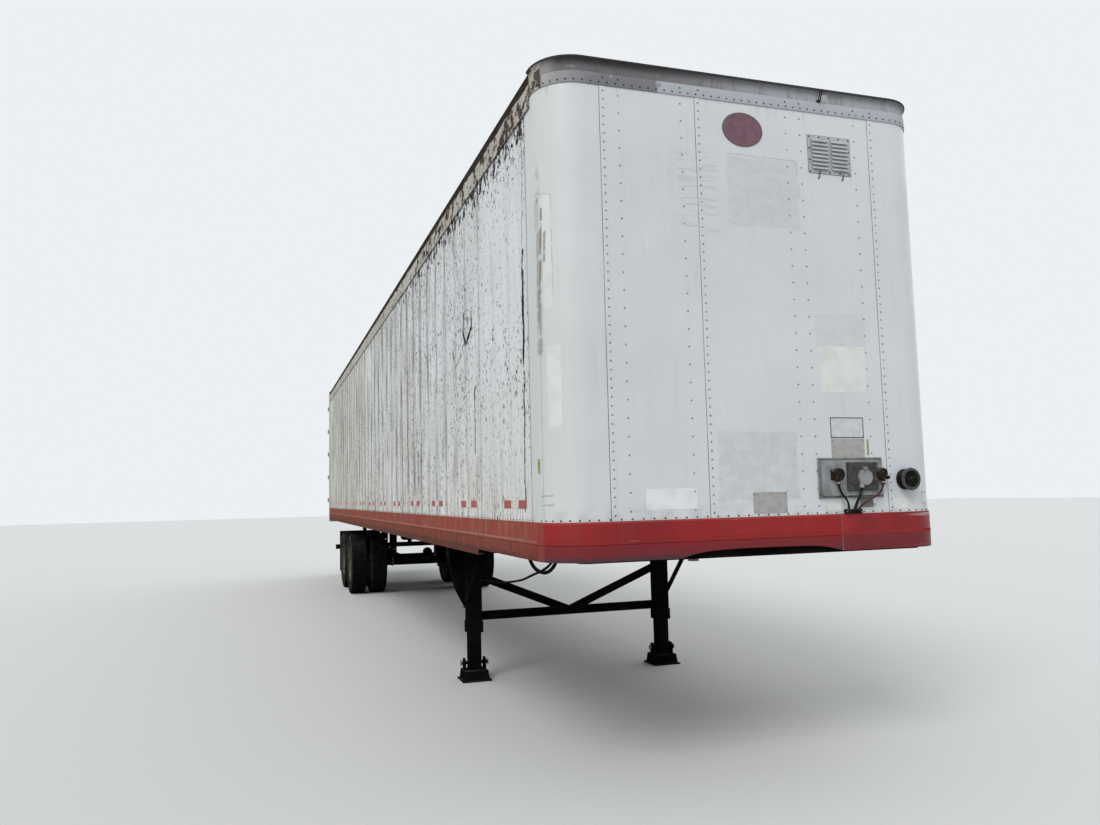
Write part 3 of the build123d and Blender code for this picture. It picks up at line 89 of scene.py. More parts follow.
# Places and sizes that the boxes of the solids don't give, in metres
GLADHAND_PLACES = (0.489, 0.806)
SOCKET_PLACE = Vector((0.676, -8.121, 1.692))
DOCUMENT_TUBE = Vector((1.0, -8.127, 1.675))
SEAMS = (-0.941, -0.336, 0.880)
NOSE_POSTS = (-0.830, -0.436, 0.276, 0.376, 0.769)
POST_SPACING = 0.4064
HINGE_LEVELS = (1.656, 2.174, 2.692, 3.210, 3.728)
ROD_PLACES = (0.280, 0.930)
BOARD_WIDTH = 0.032
LEAD_FACE = -8.109

# Directions
AHEAD = (0, -1, 0)
AFT = (0, 1, 0)
UP = (0, 0, 1)
DOWN = (0, 0, -1)

# Strips over the seams: how proud they stand, their lap on the rails, the shift of those on the nose and the first
# seam of a side
STRIP_PROUD = 0.0014
LAP = 0.004
STRIP_SHIFT = 0.012
SEAM_START = 0.02

# Rivets: pitches on the red band, over the nose, under the top rails and along the lower row, that row's height, how
# far a strip's row stands from its seam and how much narrower a head is at its top
BAND_PITCH = 0.066
RAIL_PITCH = 0.0508
TOP_PITCH = 0.1016
LOWER_PITCH = 0.0762
LOWER_ROW = 1.298
STRIP_ROW = 0.016
RIVET_TIP = 0.55

# Camera, fitted to the photograph
IMAGE_WIDTH = 1100
FOCAL_PIXELS = 879.86
SENSOR_WIDTH = 36.0
CAMERA_PLACE = (-2.7612, -12.5457, 1.6209)
CAMERA_YAW = 0.3181
CAMERA_PITCH = 0.0951
CAMERA_ROLL = -0.0239

# Half the floor's width, and the lamps: name, energy, angle and the direction that the light comes from
FLOOR_REACH = 90.0
SUNS = (("key", 1.35, 0.5, (-0.55, -0.62, 0.80)), ("fill", 0.45, 1.0, (0.75, 0.35, 0.55)))

# The long cable's way: two straight ends, the sag, bow and sway between them, and the rise to the nose
CABLE_START = Vector((0.885, -4.685, 0.885))
CABLE_END = Vector((1.150, -7.450, 1.180))
CABLE_RUN_COUNT = 12
CABLE_SWAY = 0.012
CABLE_SAG = 0.045
CABLE_BOW = 0.65
CABLE_RISE = ((-1.151, -7.597, 1.224), (-1.149, -7.687, 1.284), (-1.148, -7.727, 1.354))


def cable_route():
    """Points of the long cable that hangs from the curb leg up to the nose."""
    points = []
    for i in range(CABLE_RUN_COUNT + 1):
        share = i / CABLE_RUN_COUNT
        bow = (1 - CABLE_BOW) * share + CABLE_BOW * share**2
        spot = CABLE_START.lerp(CABLE_END, share)
        x = -(CABLE_START.x + (CABLE_END.x - CABLE_START.x) * bow)
        x += CABLE_SWAY * math.sin(4 * math.pi * share)
        points.append((x, spot.y, spot.z - CABLE_SAG * math.sin(math.pi * share)))
    return points + list(CABLE_RISE)


# Cords: name, diameter, length, stiffness, finish, lay and the points of the route
CORDS = (
    ("lead_service", 0.012, 0.174, "medium", "black_hose", "hanging",
     ((0.489, -8.109, 1.646), (0.50104, -8.10714, 1.60096), (0.56296, -8.09691, 1.54876),
      (0.575, -8.078, 1.503))),
    ("lead_electric", 0.018, 0.137, "medium", "lead_green", "hanging",
     ((0.652, -8.109, 1.630), (0.64185, -8.10683, 1.58504), (0.6212, -8.0935, 1.543),
      (0.617, -8.078, 1.503))),
    ("lead_emergency", 0.012, 0.224, "medium", "lead_brown", "hanging",
     ((0.806, -8.109, 1.646), (0.7899, -8.10838, 1.60367), (0.73854, -8.10497, 1.56935),
      (0.67237, -8.09195, 1.53975), (0.645, -8.078, 1.503))),
    ("nose_hose", 0.022, 0.743, "medium", "black_hose", "hanging",
     ((-1.2, -7.27, 1.354), (-1.2, -7.3, 1.27), (-1.198, -7.4, 1.2), (-1.195, -7.52, 1.178),
      (-1.192, -7.64, 1.18), (-1.188, -7.75, 1.212), (-1.184, -7.83, 1.276), (-1.182, -7.862, 1.354))),
    ("leg_cable", 0.016, 3.137, "medium", "black_hose", "hanging", cable_route()),
)


class TrailerSizes(bpy.types.PropertyGroup):
    """Sizes of the small pieces that a maker might change"""

    rivet_radius: FloatProperty(name="Rivet radius", description="Radius of a rivet's head", default=0.0058,
                                unit="LENGTH", subtype="DISTANCE")
    rivet_height: FloatProperty(name="Rivet height", description="How far a rivet's head stands proud",
                                default=0.0026, unit="LENGTH", subtype="DISTANCE")
    seam_pitch: FloatProperty(name="Seam pitch", description="Distance between rivets along a seam",
                              default=0.0508, unit="LENGTH", subtype="DISTANCE")
    post_pitch: FloatProperty(name="Post pitch", description="Distance between rivets along a wall post",
                              default=0.1016, unit="LENGTH", subtype="DISTANCE")
    post_spacing: FloatProperty(name="Post spacing", description="Distance between wall posts",
                                default=POST_SPACING, unit="LENGTH", subtype="DISTANCE")
    sheet_width: FloatProperty(name="Sheet width", description="Width of one side sheet",
                               default=1.2192, unit="LENGTH", subtype="DISTANCE")
    strip_width: FloatProperty(name="Strip width", description="Width of the strip over a seam",
                               default=0.034, unit="LENGTH", subtype="DISTANCE")
    tape_height: FloatProperty(name="Tape height", description="Height of the reflective tape",
                               default=0.05, unit="LENGTH", subtype="DISTANCE")
    tread_steps: IntProperty(name="Tread steps", description="Steps round a tyre", default=84, min=24)
    groove_depth: FloatProperty(name="Groove depth", description="Depth of a tyre's grooves",
                                default=0.011, unit="LENGTH", subtype="DISTANCE")


class TrailerFinish(bpy.types.PropertyGroup):
    """Colours of the paint and dirt that a maker might change"""

    wall_white: FloatVectorProperty(name="Wall white", description="Paint of the body sheets",
                                    default=(0.70, 0.73, 0.75), subtype="COLOR")
    wall_chalk: FloatVectorProperty(name="Wall chalk", description="Paint of the body sheets where it is dull",
                                    default=(0.62, 0.64, 0.65), subtype="COLOR")
    nose_red: FloatVectorProperty(name="Nose red", description="Band round the nose",
                                  default=(0.350, 0.034, 0.036), subtype="COLOR")
    rail_red: FloatVectorProperty(name="Rail red", description="Faded band along the sides",
                                  default=(0.37, 0.085, 0.066), subtype="COLOR")
    grime: FloatVectorProperty(name="Grime", description="Dark dirt that runs down the sheets",
                               default=(0.13, 0.12, 0.10), subtype="COLOR")
    stain: FloatVectorProperty(name="Stain", description="Brown stain that runs down the sides",
                               default=(0.33, 0.27, 0.18), subtype="COLOR")
    flake: FloatVectorProperty(name="Flake", description="Bare place left where paint has flaked off",
                               default=(0.060, 0.044, 0.034), subtype="COLOR")
    road_dust: FloatVectorProperty(name="Road dust", description="Pale dust on ledges and tyres",
                                   default=(0.30, 0.27, 0.22), subtype="COLOR")


# Shader building


def tone(colour):
    """A colour with full alpha; a socket stays as it is."""
    return colour if isinstance(colour, bpy.types.NodeSocket) else (*colour[:3], 1.0)


class Shade:
    """Adds shader nodes to one tree and wires them as they are made."""

    def __init__(self, tree):
        self.tree = tree

    def add(self, kind, sockets=None, **settings):
        """A new node with its settings and its inputs, by name or number: sockets are linked, values set."""
        node = self.tree.nodes.new(kind)
        for name, value in settings.items():
            setattr(node, name, value)
        for name, value in (sockets or {}).items():
            if isinstance(value, bpy.types.NodeSocket):
                self.tree.links.new(value, node.inputs[name])
            else:
                node.inputs[name].default_value = value
        return node

    def place(self):
        """Object coordinates, which are metres in the trailer's frame."""
        return self.add("ShaderNodeTexCoord").outputs["Object"]

    def places(self, *axes):
        """Object coordinates, and those along some axes on their own."""
        place = self.place()
        return place, *(self.split(place, axis) for axis in axes)

    def maths(self, operation, *values, clamp=False):
        """One Math node."""
        return self.add("ShaderNodeMath", dict(enumerate(values)), operation=operation, use_clamp=clamp).outputs[0]

    def times(self, *masks):
        """Masks multiplied together."""
        result = masks[0]
        for mask in masks[1:]:
            result = self.maths("MULTIPLY", result, mask)
        return result

    def lift(self, base, *masks):
        """A base with a product of masks added."""
        return self.maths("ADD", base, self.times(*masks))

    def vectors(self, operation, *values, output="Vector"):
        """One Vector Math node."""
        return self.add("ShaderNodeVectorMath", dict(enumerate(values)), operation=operation).outputs[output]

    def split(self, vector, axis):
        """One coordinate of a vector."""
        return self.add("ShaderNodeSeparateXYZ", {0: vector}).outputs[axis]

    def stretch(self, vector, scale):
        """Coordinates scaled along each axis."""
        return self.add("ShaderNodeMapping", {"Vector": vector, "Scale": scale}).outputs[0]

    def noise(self, vector, scale, detail=3.0, roughness=0.55, output="Fac"):
        """Fractal noise from 0 to 1, its scale one number or one for each axis."""
        if isinstance(scale, tuple):
            vector, scale = self.stretch(vector, scale), 1.0
        return self.add("ShaderNodeTexNoise", {"Vector": vector, "Scale": scale, "Detail": detail,
                                               "Roughness": roughness}).outputs[output]

    def waves(self, vector, direction, scale, distortion=0.0, detail=2.0):
        """Even bands from 0 to 1 across a direction, their edges bent by a distortion."""
        return self.add("ShaderNodeTexWave", {"Vector": vector, "Scale": scale, "Distortion": distortion,
                                              "Detail": detail}, bands_direction=direction).outputs["Fac"]

    def shaken(self, vector, scatter, reach):
        """Coordinates pushed about by a colour noise, as far along each axis as reach says."""
        shift = self.vectors("SUBTRACT", scatter, (0.5, 0.5, 0.5))
        return self.vectors("ADD", vector, self.stretch(shift, reach))

    def step(self, value, low, high):
        """A smooth step from 0 at low to 1 at high."""
        return self.add("ShaderNodeMapRange", {"Value": value, "From Min": low, "From Max": high},
                        interpolation_type="SMOOTHSTEP").outputs[0]

    def layer(self, under, over, *masks):
        """A colour laid over another where the masks, multiplied together, say."""
        return self.add("ShaderNodeMix", {0: self.times(*masks), 6: tone(under), 7: tone(over)},
                        data_type="RGBA").outputs[2]

    def coats(self, under, *coats):
        """A colour under coats of (colour, *masks), the lowest first."""
        for coat in coats:
            under = self.layer(under, *coat)
        return under

    def effect(self, name, *values):
        """A shared effect's mask, its inputs given in the order of EFFECTS."""
        inputs = {label: value for (label, _), value in zip(EFFECTS[name][1], values)}
        return self.add("ShaderNodeGroup", inputs, node_tree=effect_group(name)).outputs["Mask"]

    def strokes(self, vector, colour, over, table):
        """Lines of (start, end, width, strength) laid over a colour."""
        for start, end, width, strength in table:
            colour = self.layer(colour, over, self.effect("stroke", vector, start, end, width), strength)
        return colour

    def surface(self, colour, roughness, metallic=0.0, height=None, depth=0.001, coat=0.0, gloss=0.5):
        """The material's shader, with an optional bump."""
        shader = self.add("ShaderNodeBsdfPrincipled", {"Base Color": colour, "Roughness": roughness,
                                                       "Metallic": metallic, "Coat Weight": coat,
                                                       "Specular IOR Level": gloss})
        if height is not None:
            bump = self.add("ShaderNodeBump", {"Height": height, "Distance": depth})
            self.tree.links.new(bump.outputs["Normal"], shader.inputs["Normal"])
        self.add("ShaderNodeOutputMaterial", {"Surface": shader.outputs[0]})


def runs_effect(shade, given):
    """Vertical runs of dirt, as long noise stretched down the sheet."""
    scale = shade.add("ShaderNodeCombineXYZ", {0: given["Across"], 1: given["Across"], 2: given["Along"]}).outputs[0]
    streaks = shade.noise(shade.vectors("MULTIPLY", given["Vector"], scale), 1.0, 4.0, 0.62)
    return shade.step(streaks, given["Cover"], shade.maths("ADD", given["Cover"], given["Soft"]))


def mottle_effect(shade, given):
    """Cloudy patches between two levels of a noise."""
    return shade.step(shade.noise(given["Vector"], given["Scale"], 6.0, 0.6), given["Low"], given["High"])


def patch_effect(shade, given):
    """A soft-edged box, 1 inside and 0 outside."""
    away = shade.vectors("ABSOLUTE", shade.vectors("SUBTRACT", given["Vector"], given["Centre"]))
    over = shade.vectors("SUBTRACT", away, given["Half"])
    across, along, up = (shade.split(over, axis) for axis in range(3))
    widest = shade.maths("MAXIMUM", across, shade.maths("MAXIMUM", along, up))
    return shade.step(widest, given["Feather"], 0.0)


def posts_effect(shade, given):
    """Vertical lines at an even pitch along the side."""
    along = shade.maths("SUBTRACT", shade.split(given["Vector"], 1), given["Offset"])
    near = shade.maths("PINGPONG", along, shade.times(given["Pitch"], 0.5))
    return shade.step(near, given["Width"], 0.0)


def stroke_effect(shade, given):
    """A soft broken line between two points."""
    away = shade.vectors("SUBTRACT", given["Vector"], given["Start"])
    reach = shade.vectors("SUBTRACT", given["End"], given["Start"])
    along = shade.vectors("DOT_PRODUCT", away, reach, output="Value")
    whole = shade.vectors("DOT_PRODUCT", reach, reach, output="Value")
    share = shade.maths("DIVIDE", along, whole, clamp=True)
    nearest = shade.add("ShaderNodeVectorMath", {0: reach, "Scale": share}, operation="SCALE").outputs[0]
    gap = shade.vectors("LENGTH", shade.vectors("SUBTRACT", away, nearest), output="Value")
    line = shade.step(gap, given["Width"], shade.times(given["Width"], 0.35))
    return shade.times(line, shade.step(shade.noise(given["Vector"], given["Grain"], 4.0, 0.7), 0.36, 0.50))


def wear_effect(shade, given):
    """Worn edges, where the surface turns within a small radius."""
    rounded = shade.add("ShaderNodeBevel", {"Radius": given["Radius"]}, samples=4).outputs[0]
    normal = shade.add("ShaderNodeNewGeometry").outputs["Normal"]
    turn = shade.vectors("DOT_PRODUCT", rounded, normal, output="Value")
    broken = shade.times(shade.noise(given["Vector"], 24.0, 5.0), 0.09)
    return shade.step(shade.maths("SUBTRACT", 1.0, turn), broken, shade.maths("ADD", broken, 0.05))


def dust_effect(shade, given):
    """Dust that settles where a surface faces up."""
    up = shade.split(shade.add("ShaderNodeNewGeometry").outputs["Normal"], 2)
    clouds = shade.step(shade.noise(given["Vector"], 7.0, 5.0), 0.30, 0.75)
    return shade.times(shade.step(up, 0.1, 0.9), clouds, given["Amount"])


# Shared effects: what builds each one, and its inputs with their defaults; those without one are vectors
EFFECTS = {
    "runs": (runs_effect, (("Vector", None), ("Across", 30.0), ("Along", 0.5), ("Cover", 0.5), ("Soft", 0.15))),
    "mottle": (mottle_effect, (("Vector", None), ("Scale", 1.0), ("Low", 0.4), ("High", 0.6))),
    "patch": (patch_effect, (("Vector", None), ("Centre", None), ("Half", None), ("Feather", 0.01))),
    "posts": (posts_effect, (("Vector", None), ("Pitch", 0.4), ("Offset", 0.0), ("Width", 0.01))),
    "stroke": (stroke_effect, (("Vector", None), ("Start", None), ("End", None), ("Width", 0.01), ("Grain", 9.0))),
    "wear": (wear_effect, (("Vector", None), ("Radius", 0.006))),
    "dust": (dust_effect, (("Vector", None), ("Amount", 0.6))),
}


def effect_group(name):
    """A shared effect's node group, built the first time it is asked for."""
    if name in bpy.data.node_groups:
        return bpy.data.node_groups[name]
    build, inputs = EFFECTS[name]
    tree = bpy.data.node_groups.new(name, "ShaderNodeTree")
    for label, default in inputs:
        kind = "NodeSocketVector" if default is None else "NodeSocketFloat"
        socket = tree.interface.new_socket(label, in_out="INPUT", socket_type=kind)
        if default is not None:
            socket.default_value = default
    tree.interface.new_socket("Mask", in_out="OUTPUT", socket_type="NodeSocketFloat")
    shade = Shade(tree)
    given = shade.add("NodeGroupInput").outputs
    shade.add("NodeGroupOutput", {"Mask": build(shade, given)})
    return tree


# Finishes with a pattern of their own

# Marks on the curb side sheets: start and end along the side and up, half width and strength, from the nose back
SIDE_MARKS = [((-SIDE_FACE, *start), (-SIDE_FACE, *end), width, strength) for start, end, width, strength in (
    ((-7.620, 3.78), (-7.600, 3.06), 0.012, 0.60), ((-7.600, 3.08), (-7.584, 2.28), 0.030, 1.00),
    ((-7.584, 2.30), (-7.556, 1.55), 0.020, 0.85), ((-6.235, 3.00), (-6.225, 2.88), 0.028, 1.00),
    ((-6.225, 2.89), (-6.070, 2.80), 0.034, 1.00), ((-5.985, 3.03), (-5.945, 2.90), 0.026, 1.00),
    ((-5.945, 2.91), (-6.020, 2.80), 0.034, 1.00), ((-6.120, 2.98), (-6.100, 2.90), 0.020, 0.60),
    ((-5.980, 2.80), (-5.660, 2.66), 0.011, 0.55), ((-5.550, 2.83), (-5.640, 2.64), 0.016, 0.55),
    ((-6.310, 2.42), (-6.300, 1.95), 0.020, 0.85), ((-5.100, 2.12), (-5.100, 1.95), 0.026, 0.80),
    ((-3.850, 2.08), (-3.870, 1.74), 0.034, 0.85))]
# Brown places on the side sheets: centre and half size along the side and up
SIDE_STAINS = (((1.60, 3.00), (0.80, 0.70)), ((-5.66, 1.86), (0.16, 0.16)), ((-6.33, 1.76), (0.12, 0.16)),
               ((-2.80, 2.60), (0.60, 0.50)), ((4.60, 2.70), (1.40, 0.90)))
# Marks on the curb corner of the nose: start, end, half width and strength
CORNER_MARKS = (
    ((-1.265, -7.923, 3.24), (-1.2766, -7.888, 2.60), 0.012, 0.85),
    ((-1.2740, -7.900, 3.10), (-1.2775, -7.884, 2.44), 0.042, 0.55),
    ((-1.273, -7.902, 3.34), (-1.228, -7.983, 3.315), 0.009, 0.25),
    ((-1.228, -7.983, 3.315), (-1.226, -7.987, 2.72), 0.005, 0.35),
    ((-1.253, -7.947, 3.10), (-1.258, -7.938, 2.94), 0.014, 0.70),
    ((-1.278, -7.884, 3.46), (-1.279, -7.877, 3.16), 0.040, 0.30),
    ((-1.277, -7.886, 3.315), (-1.277, -7.886, 3.300), 0.010, 0.95),
)
# Places where signs came off the nose: centre and half size across and up, depth and how flat the scuffs are
NOSE_GHOSTS = (((0.100, 3.411), (0.230, 0.205), 0.13, 2.6), ((-0.015, 1.770), (0.250, 0.190), 0.18, 1.2),
               ((0.59, 2.580), (0.165, 0.090), 0.10, 2.0))
# Edges of a torn sign on the nose: start, end, half width and strength
GHOST_EDGES = (((-0.135, NOSE_FACE, 3.632), (0.333, NOSE_FACE, 3.628), 0.004, 0.42),
               ((0.333, NOSE_FACE, 3.628), (0.352, NOSE_FACE, 3.40), 0.004, 0.38))


def side_wall_paint(shade, finish):
    """White side sheets with flaked spots, brown runs and a torn place; plain where the load space shows them."""
    place, across, along, height = shade.places(0, 1, 2)
    aft, rear, low = shade.step(along, -7.6, -3.0), shade.step(along, -4.0, 5.0), shade.step(height, 2.9, 1.5)
    dull = shade.maths("ADD", shade.times(rear, 0.55), shade.times(low, 0.40), clamp=True)
    broad = shade.effect("mottle", place, 0.8, 0.35, 0.68)
    field = shade.effect("mottle", shade.stretch(place, (1, 0.6, 0.9)), 0.8, 0.32, 0.58)
    thick = shade.effect("mottle", place, 1.7, 0.38, 0.62)
    curtains = shade.effect("runs", place, 3.2, 0.45, 0.47, 0.10)
    wide = shade.effect("runs", place, 10.0, 0.9, 0.46, 0.16)
    narrow = shade.effect("runs", place, 24.0, 2.0, 0.48, 0.12)
    broken = shade.effect("runs", place, 15.0, 2.0, 0.44, 0.12)
    drips = shade.effect("posts", place, POST_SPACING, WALLS[0].y + SEAM_START, 0.110)
    stains = [((0.35, 0.285, 0.18), shade.effect("patch", place, (0, y, z), (2, reach / 2, rise / 2), reach),
               shade.lift(0.06, wide, 0.42)) for (y, z), (reach, rise) in SIDE_STAINS]
    spots = shade.step(shade.lift(shade.noise(place, (1, 26, 27), 4.0, 0.72), field, 0.038), 0.618, 0.640)
    dots = shade.step(shade.noise(place, (1, 58, 32), 3.0, 0.7), 0.655, 0.690)
    fore = shade.step(along, 1.5, -6.6)
    peel = shade.lift(shade.noise(place, (1, 17, 12), 4.0, 0.68), shade.step(height, 3.58, 3.90),
                      shade.lift(0.05, fore, 0.145))
    colour = shade.coats(
        (0.83, 0.845, 0.855), ((0.73, 0.745, 0.74), broad, 0.8), ((0.82, 0.82, 0.755), dull),
        ((0.43, 0.43, 0.34), curtains, rear, 0.36), ((0.40, 0.385, 0.33), wide, shade.lift(0.08, aft, 0.16)),
        ((0.30, 0.285, 0.235), narrow, shade.lift(0.10, aft, field, 0.42)),
        (finish.grime, drips, broken, shade.lift(0.10, aft, 0.70)), *stains,
        (finish.flake, spots, shade.lift(0.55, field, 0.45)), (finish.flake, dots, shade.lift(0.25, thick, 0.70)),
        ((0.036, 0.028, 0.022), shade.step(peel, 0.668, 0.688), shade.step(height, 3.45, 3.62), 0.96),
        (finish.stain, shade.step(height, 2.00, 1.46), narrow, 0.40))
    bent = shade.shaken(place, shade.noise(place, 9.0, 3.0, 0.5, "Color"), (0, 0.07, 0.05))
    colour = shade.strokes(bent, colour, (0.016, 0.014, 0.013), SIDE_MARKS)
    inner = shade.step(shade.maths("ABSOLUTE", across), 1.264, 1.260)
    colour = shade.layer(colour, shade.layer((0.60, 0.61, 0.60), (0.50, 0.50, 0.48), broad), inner)
    shade.surface(colour, shade.lift(0.60, narrow, 0.2), height=shade.noise(place, 1.3, 2.0), depth=0.012, gloss=0.0)


def nose_wall_paint(shade, finish):
    """White nose sheets, with the scuffed places that old signs leave."""
    place, across, height = shade.places(0, 2)
    broad = shade.effect("mottle", place, 1.1, 0.34, 0.70)
    fine = shade.effect("runs", place, 34.0, 1.6, 0.54, 0.20)
    blur = shade.noise(place, 8.0, 4.0, 0.5, "Color")
    torn = shade.shaken(place, blur, (0.06, 0, 0.05))
    ghosts = []
    for (x, z), (reach, rise), depth, flat in NOSE_GHOSTS:
        core = shade.effect("patch", torn, (x, NOSE_FACE, z), (reach, 0.05, rise), 0.022)
        scuffs = shade.effect("mottle", shade.stretch(place, (1, 1, flat)), 11.0, 0.30, 0.66)
        specks = shade.step(shade.noise(shade.stretch(place, (1, 1, 1.6)), 55.0), 0.60, 0.68)
        ghosts += [((0.38, 0.335, 0.27), core, shade.maths("ADD", 0.50, scuffs), depth),
                   (finish.grime, core, specks, depth)]
    faded = shade.effect("patch", torn, (-0.34, NOSE_FACE, 3.38), (0.10, 0.05, 0.22), 0.06)
    rows = shade.step(shade.noise(torn, (3, 1, 46), 3.0, 0.6), 0.50, 0.60)
    colour = shade.coats(finish.wall_white, (finish.wall_chalk, broad, 0.6), (finish.stain, fine, 0.09), *ghosts,
                         (finish.stain, faded, rows, 0.22))
    colour = shade.strokes(place, colour, (0.33, 0.27, 0.19), GHOST_EDGES)
    pale = shade.effect("stroke", place, (-1.250, -7.951, 3.29), (-1.247, -7.957, 2.70), 0.050, 3.0)
    colour = shade.coats(colour, ((0.86, 0.88, 0.88), pale, 0.6),
                         ((0.68, 0.68, 0.61), shade.step(across, -1.02, -1.20), 0.35))
    bent = shade.shaken(place, blur, (0.0, 0.022, 0.03))
    colour = shade.strokes(bent, colour, (0.20, 0.165, 0.12), CORNER_MARKS)
    scuff = shade.step(shade.noise(place, (26, 26, 9), 4.0, 0.7), 0.65, 0.70)
    splash = shade.effect("mottle", place, 12.0, 0.44, 0.62)
    colour = shade.coats(colour, (finish.grime, shade.step(across, -1.185, -1.215), scuff, 0.35),
                         (finish.grime, shade.step(shade.noise(place, 85.0, 2.0), 0.71, 0.75), 0.30),
                         (finish.grime, shade.step(height, 3.88, 3.96), fine, 0.30),
                         (finish.road_dust, shade.step(height, 1.60, 1.47), splash, 0.28))
    shade.surface(colour, shade.lift(0.40, broad, 0.15), height=shade.noise(place, 1.6, 2.0), depth=0.010)


def door_paint(shade, finish):
    """White door faces, dusty toward the sill."""
    place, height = shade.places(2)
    broad = shade.effect("mottle", place, 1.2, 0.34, 0.70)
    fine = shade.effect("runs", place, 28.0, 0.7, 0.50, 0.20)
    dust = shade.times(shade.step(height, 2.9, 1.4), shade.effect("mottle", place, 3.0, 0.3, 0.7))
    colour = shade.coats(finish.wall_white, (finish.wall_chalk, broad), (finish.stain, fine, 0.25),
                         (finish.road_dust, dust, 0.45))
    shade.surface(colour, shade.lift(0.42, dust, 0.3), height=shade.noise(place, 1.4, 2.0), depth=0.006)


def red_band(shade, base, fade, chalk, dirt, low, scrape):
    """Red enamel, duller toward its scraped lower edge."""
    place, along, height = shade.places(1, 2)
    runs = shade.effect("runs", place, 13.0, 4.0, 0.46, 0.20)
    waves = shade.lift(height, shade.noise(place, (3, 3, 6)), 0.06)
    ragged = shade.lift(shade.step(height, 1.34, 1.25), shade.noise(place, 9.0, 4.0), 0.8)
    scratches = shade.step(shade.noise(place, (3.0, 3.0, 90.0), 3.0, 0.6), 0.69, 0.71)
    colour = shade.coats(base, (fade, shade.effect("mottle", place, 2.2, 0.33, 0.70)), (chalk, runs, dirt),
                         (low, shade.step(waves, 1.412, 1.345), 0.85),
                         (scrape, shade.step(ragged, 0.95, 1.25), 0.85), ((0.52, 0.40, 0.38), scratches, 0.30))
    return place, along, height, runs, colour


def nose_band(shade, finish):
    """Deep red band round the nose."""
    place, along, height, runs, colour = red_band(shade, finish.nose_red, (0.275, 0.032, 0.034),
                                                  (0.24, 0.060, 0.055), 0.30, (0.185, 0.036, 0.042),
                                                  (0.075, 0.048, 0.058))
    ends = shade.lift(along, shade.noise(place, 30.0, 4.0), 0.03)
    colour = shade.coats(colour, ((0.50, 0.16, 0.13), shade.step(height, 1.462, 1.474), 0.35),
                         ((0.29, 0.082, 0.070), shade.step(ends, -7.900, -7.860), 0.75))
    shade.surface(colour, shade.lift(0.42, runs, 0.2), height=shade.noise(place, 3.0), depth=0.006, gloss=0.0)


def band_fresh(shade, finish):
    """Newer red patch round the road corner, scratched near its end."""
    place, across, height = shade.places(0, 2)
    worn = shade.effect("mottle", place, 5.0, 0.36, 0.66)
    lines = shade.step(shade.noise(place, (2.2, 2.2, 70.0), 3.0, 0.6), 0.60, 0.64)
    colour = shade.coats((0.300, 0.010, 0.010), ((0.225, 0.008, 0.010), worn),
                         ((0.42, 0.014, 0.010), shade.step(across, 0.60, 0.527), 0.6),
                         ((0.55, 0.42, 0.40), lines, shade.lift(0.08, shade.step(across, 0.95, 1.2), 0.7)),
                         ((0.13, 0.010, 0.014), shade.step(height, 1.40, 1.32), 0.75))
    shade.surface(colour, 0.42, height=worn, depth=0.002, gloss=0.4)


def side_band(shade, finish):
    """Faded red band along the sides, deep red at the nose and browner toward the rear."""
    place, along, height, runs, colour = red_band(shade, finish.rail_red, (0.30, 0.088, 0.068),
                                                  (0.30, 0.190, 0.150), 0.55, (0.260, 0.075, 0.058),
                                                  (0.130, 0.060, 0.046))
    drips = shade.effect("runs", place, 20.0, 3.0, 0.47, 0.10)
    lower = shade.layer((0.34, 0.060, 0.055), (0.200, 0.045, 0.048), shade.step(height, 1.36, 1.30))
    colour = shade.coats(
        colour, ((0.215, 0.120, 0.085), shade.step(along, -6.5, 3.0), shade.lift(0.25, runs, 0.35)),
        ((0.11, 0.065, 0.050), drips, shade.step(height, 1.356, 1.340), 0.5),
        # A paler line just above the bead is a painted highlight
        ((0.42, 0.30, 0.23), shade.step(height, 1.360, 1.364), shade.step(height, 1.376, 1.371), 0.5),
        (lower, shade.step(along, -7.25, -7.83), 0.45))
    shade.surface(colour, shade.lift(0.65, runs, 0.2), height=shade.noise(place, 3.0), depth=0.006, gloss=0.0)


def top_rail_metal(shade, finish):
    """Cream paint on the side top rails, flaking off brown-black bare places, with painted shade of a cove along the
    top.
    """
    place, along, height = shade.places(1, 2)
    fore = shade.step(along, 0.0, -7.4)
    ragged = shade.noise(place, (9, 9, 11), 6.0, 0.74)
    # Above this ragged line the rail is painted dark, as the shade in a cove under its lip
    cove_shade_edge = shade.lift(height, shade.noise(place, (6, 6, 2), 5.0, 0.7), 0.07)
    colour = shade.coats(
        (0.58, 0.56, 0.50), ((0.46, 0.435, 0.375), shade.effect("mottle", place, 2.0, 0.35, 0.68)),
        ((0.20, 0.150, 0.100), shade.step(ragged, 0.50, 0.56), shade.lift(0.12, fore, 0.55)),
        (finish.flake, shade.step(shade.lift(ragged, fore, 0.085), 0.585, 0.615), 0.92),
        ((0.030, 0.024, 0.020), shade.step(cove_shade_edge, 4.058, 4.070), 0.96),
        ((0.10, 0.085, 0.07), shade.step(height, 3.896, 3.890), 0.8))
    shade.surface(colour, 0.8, height=ragged, depth=0.004, gloss=0.0)


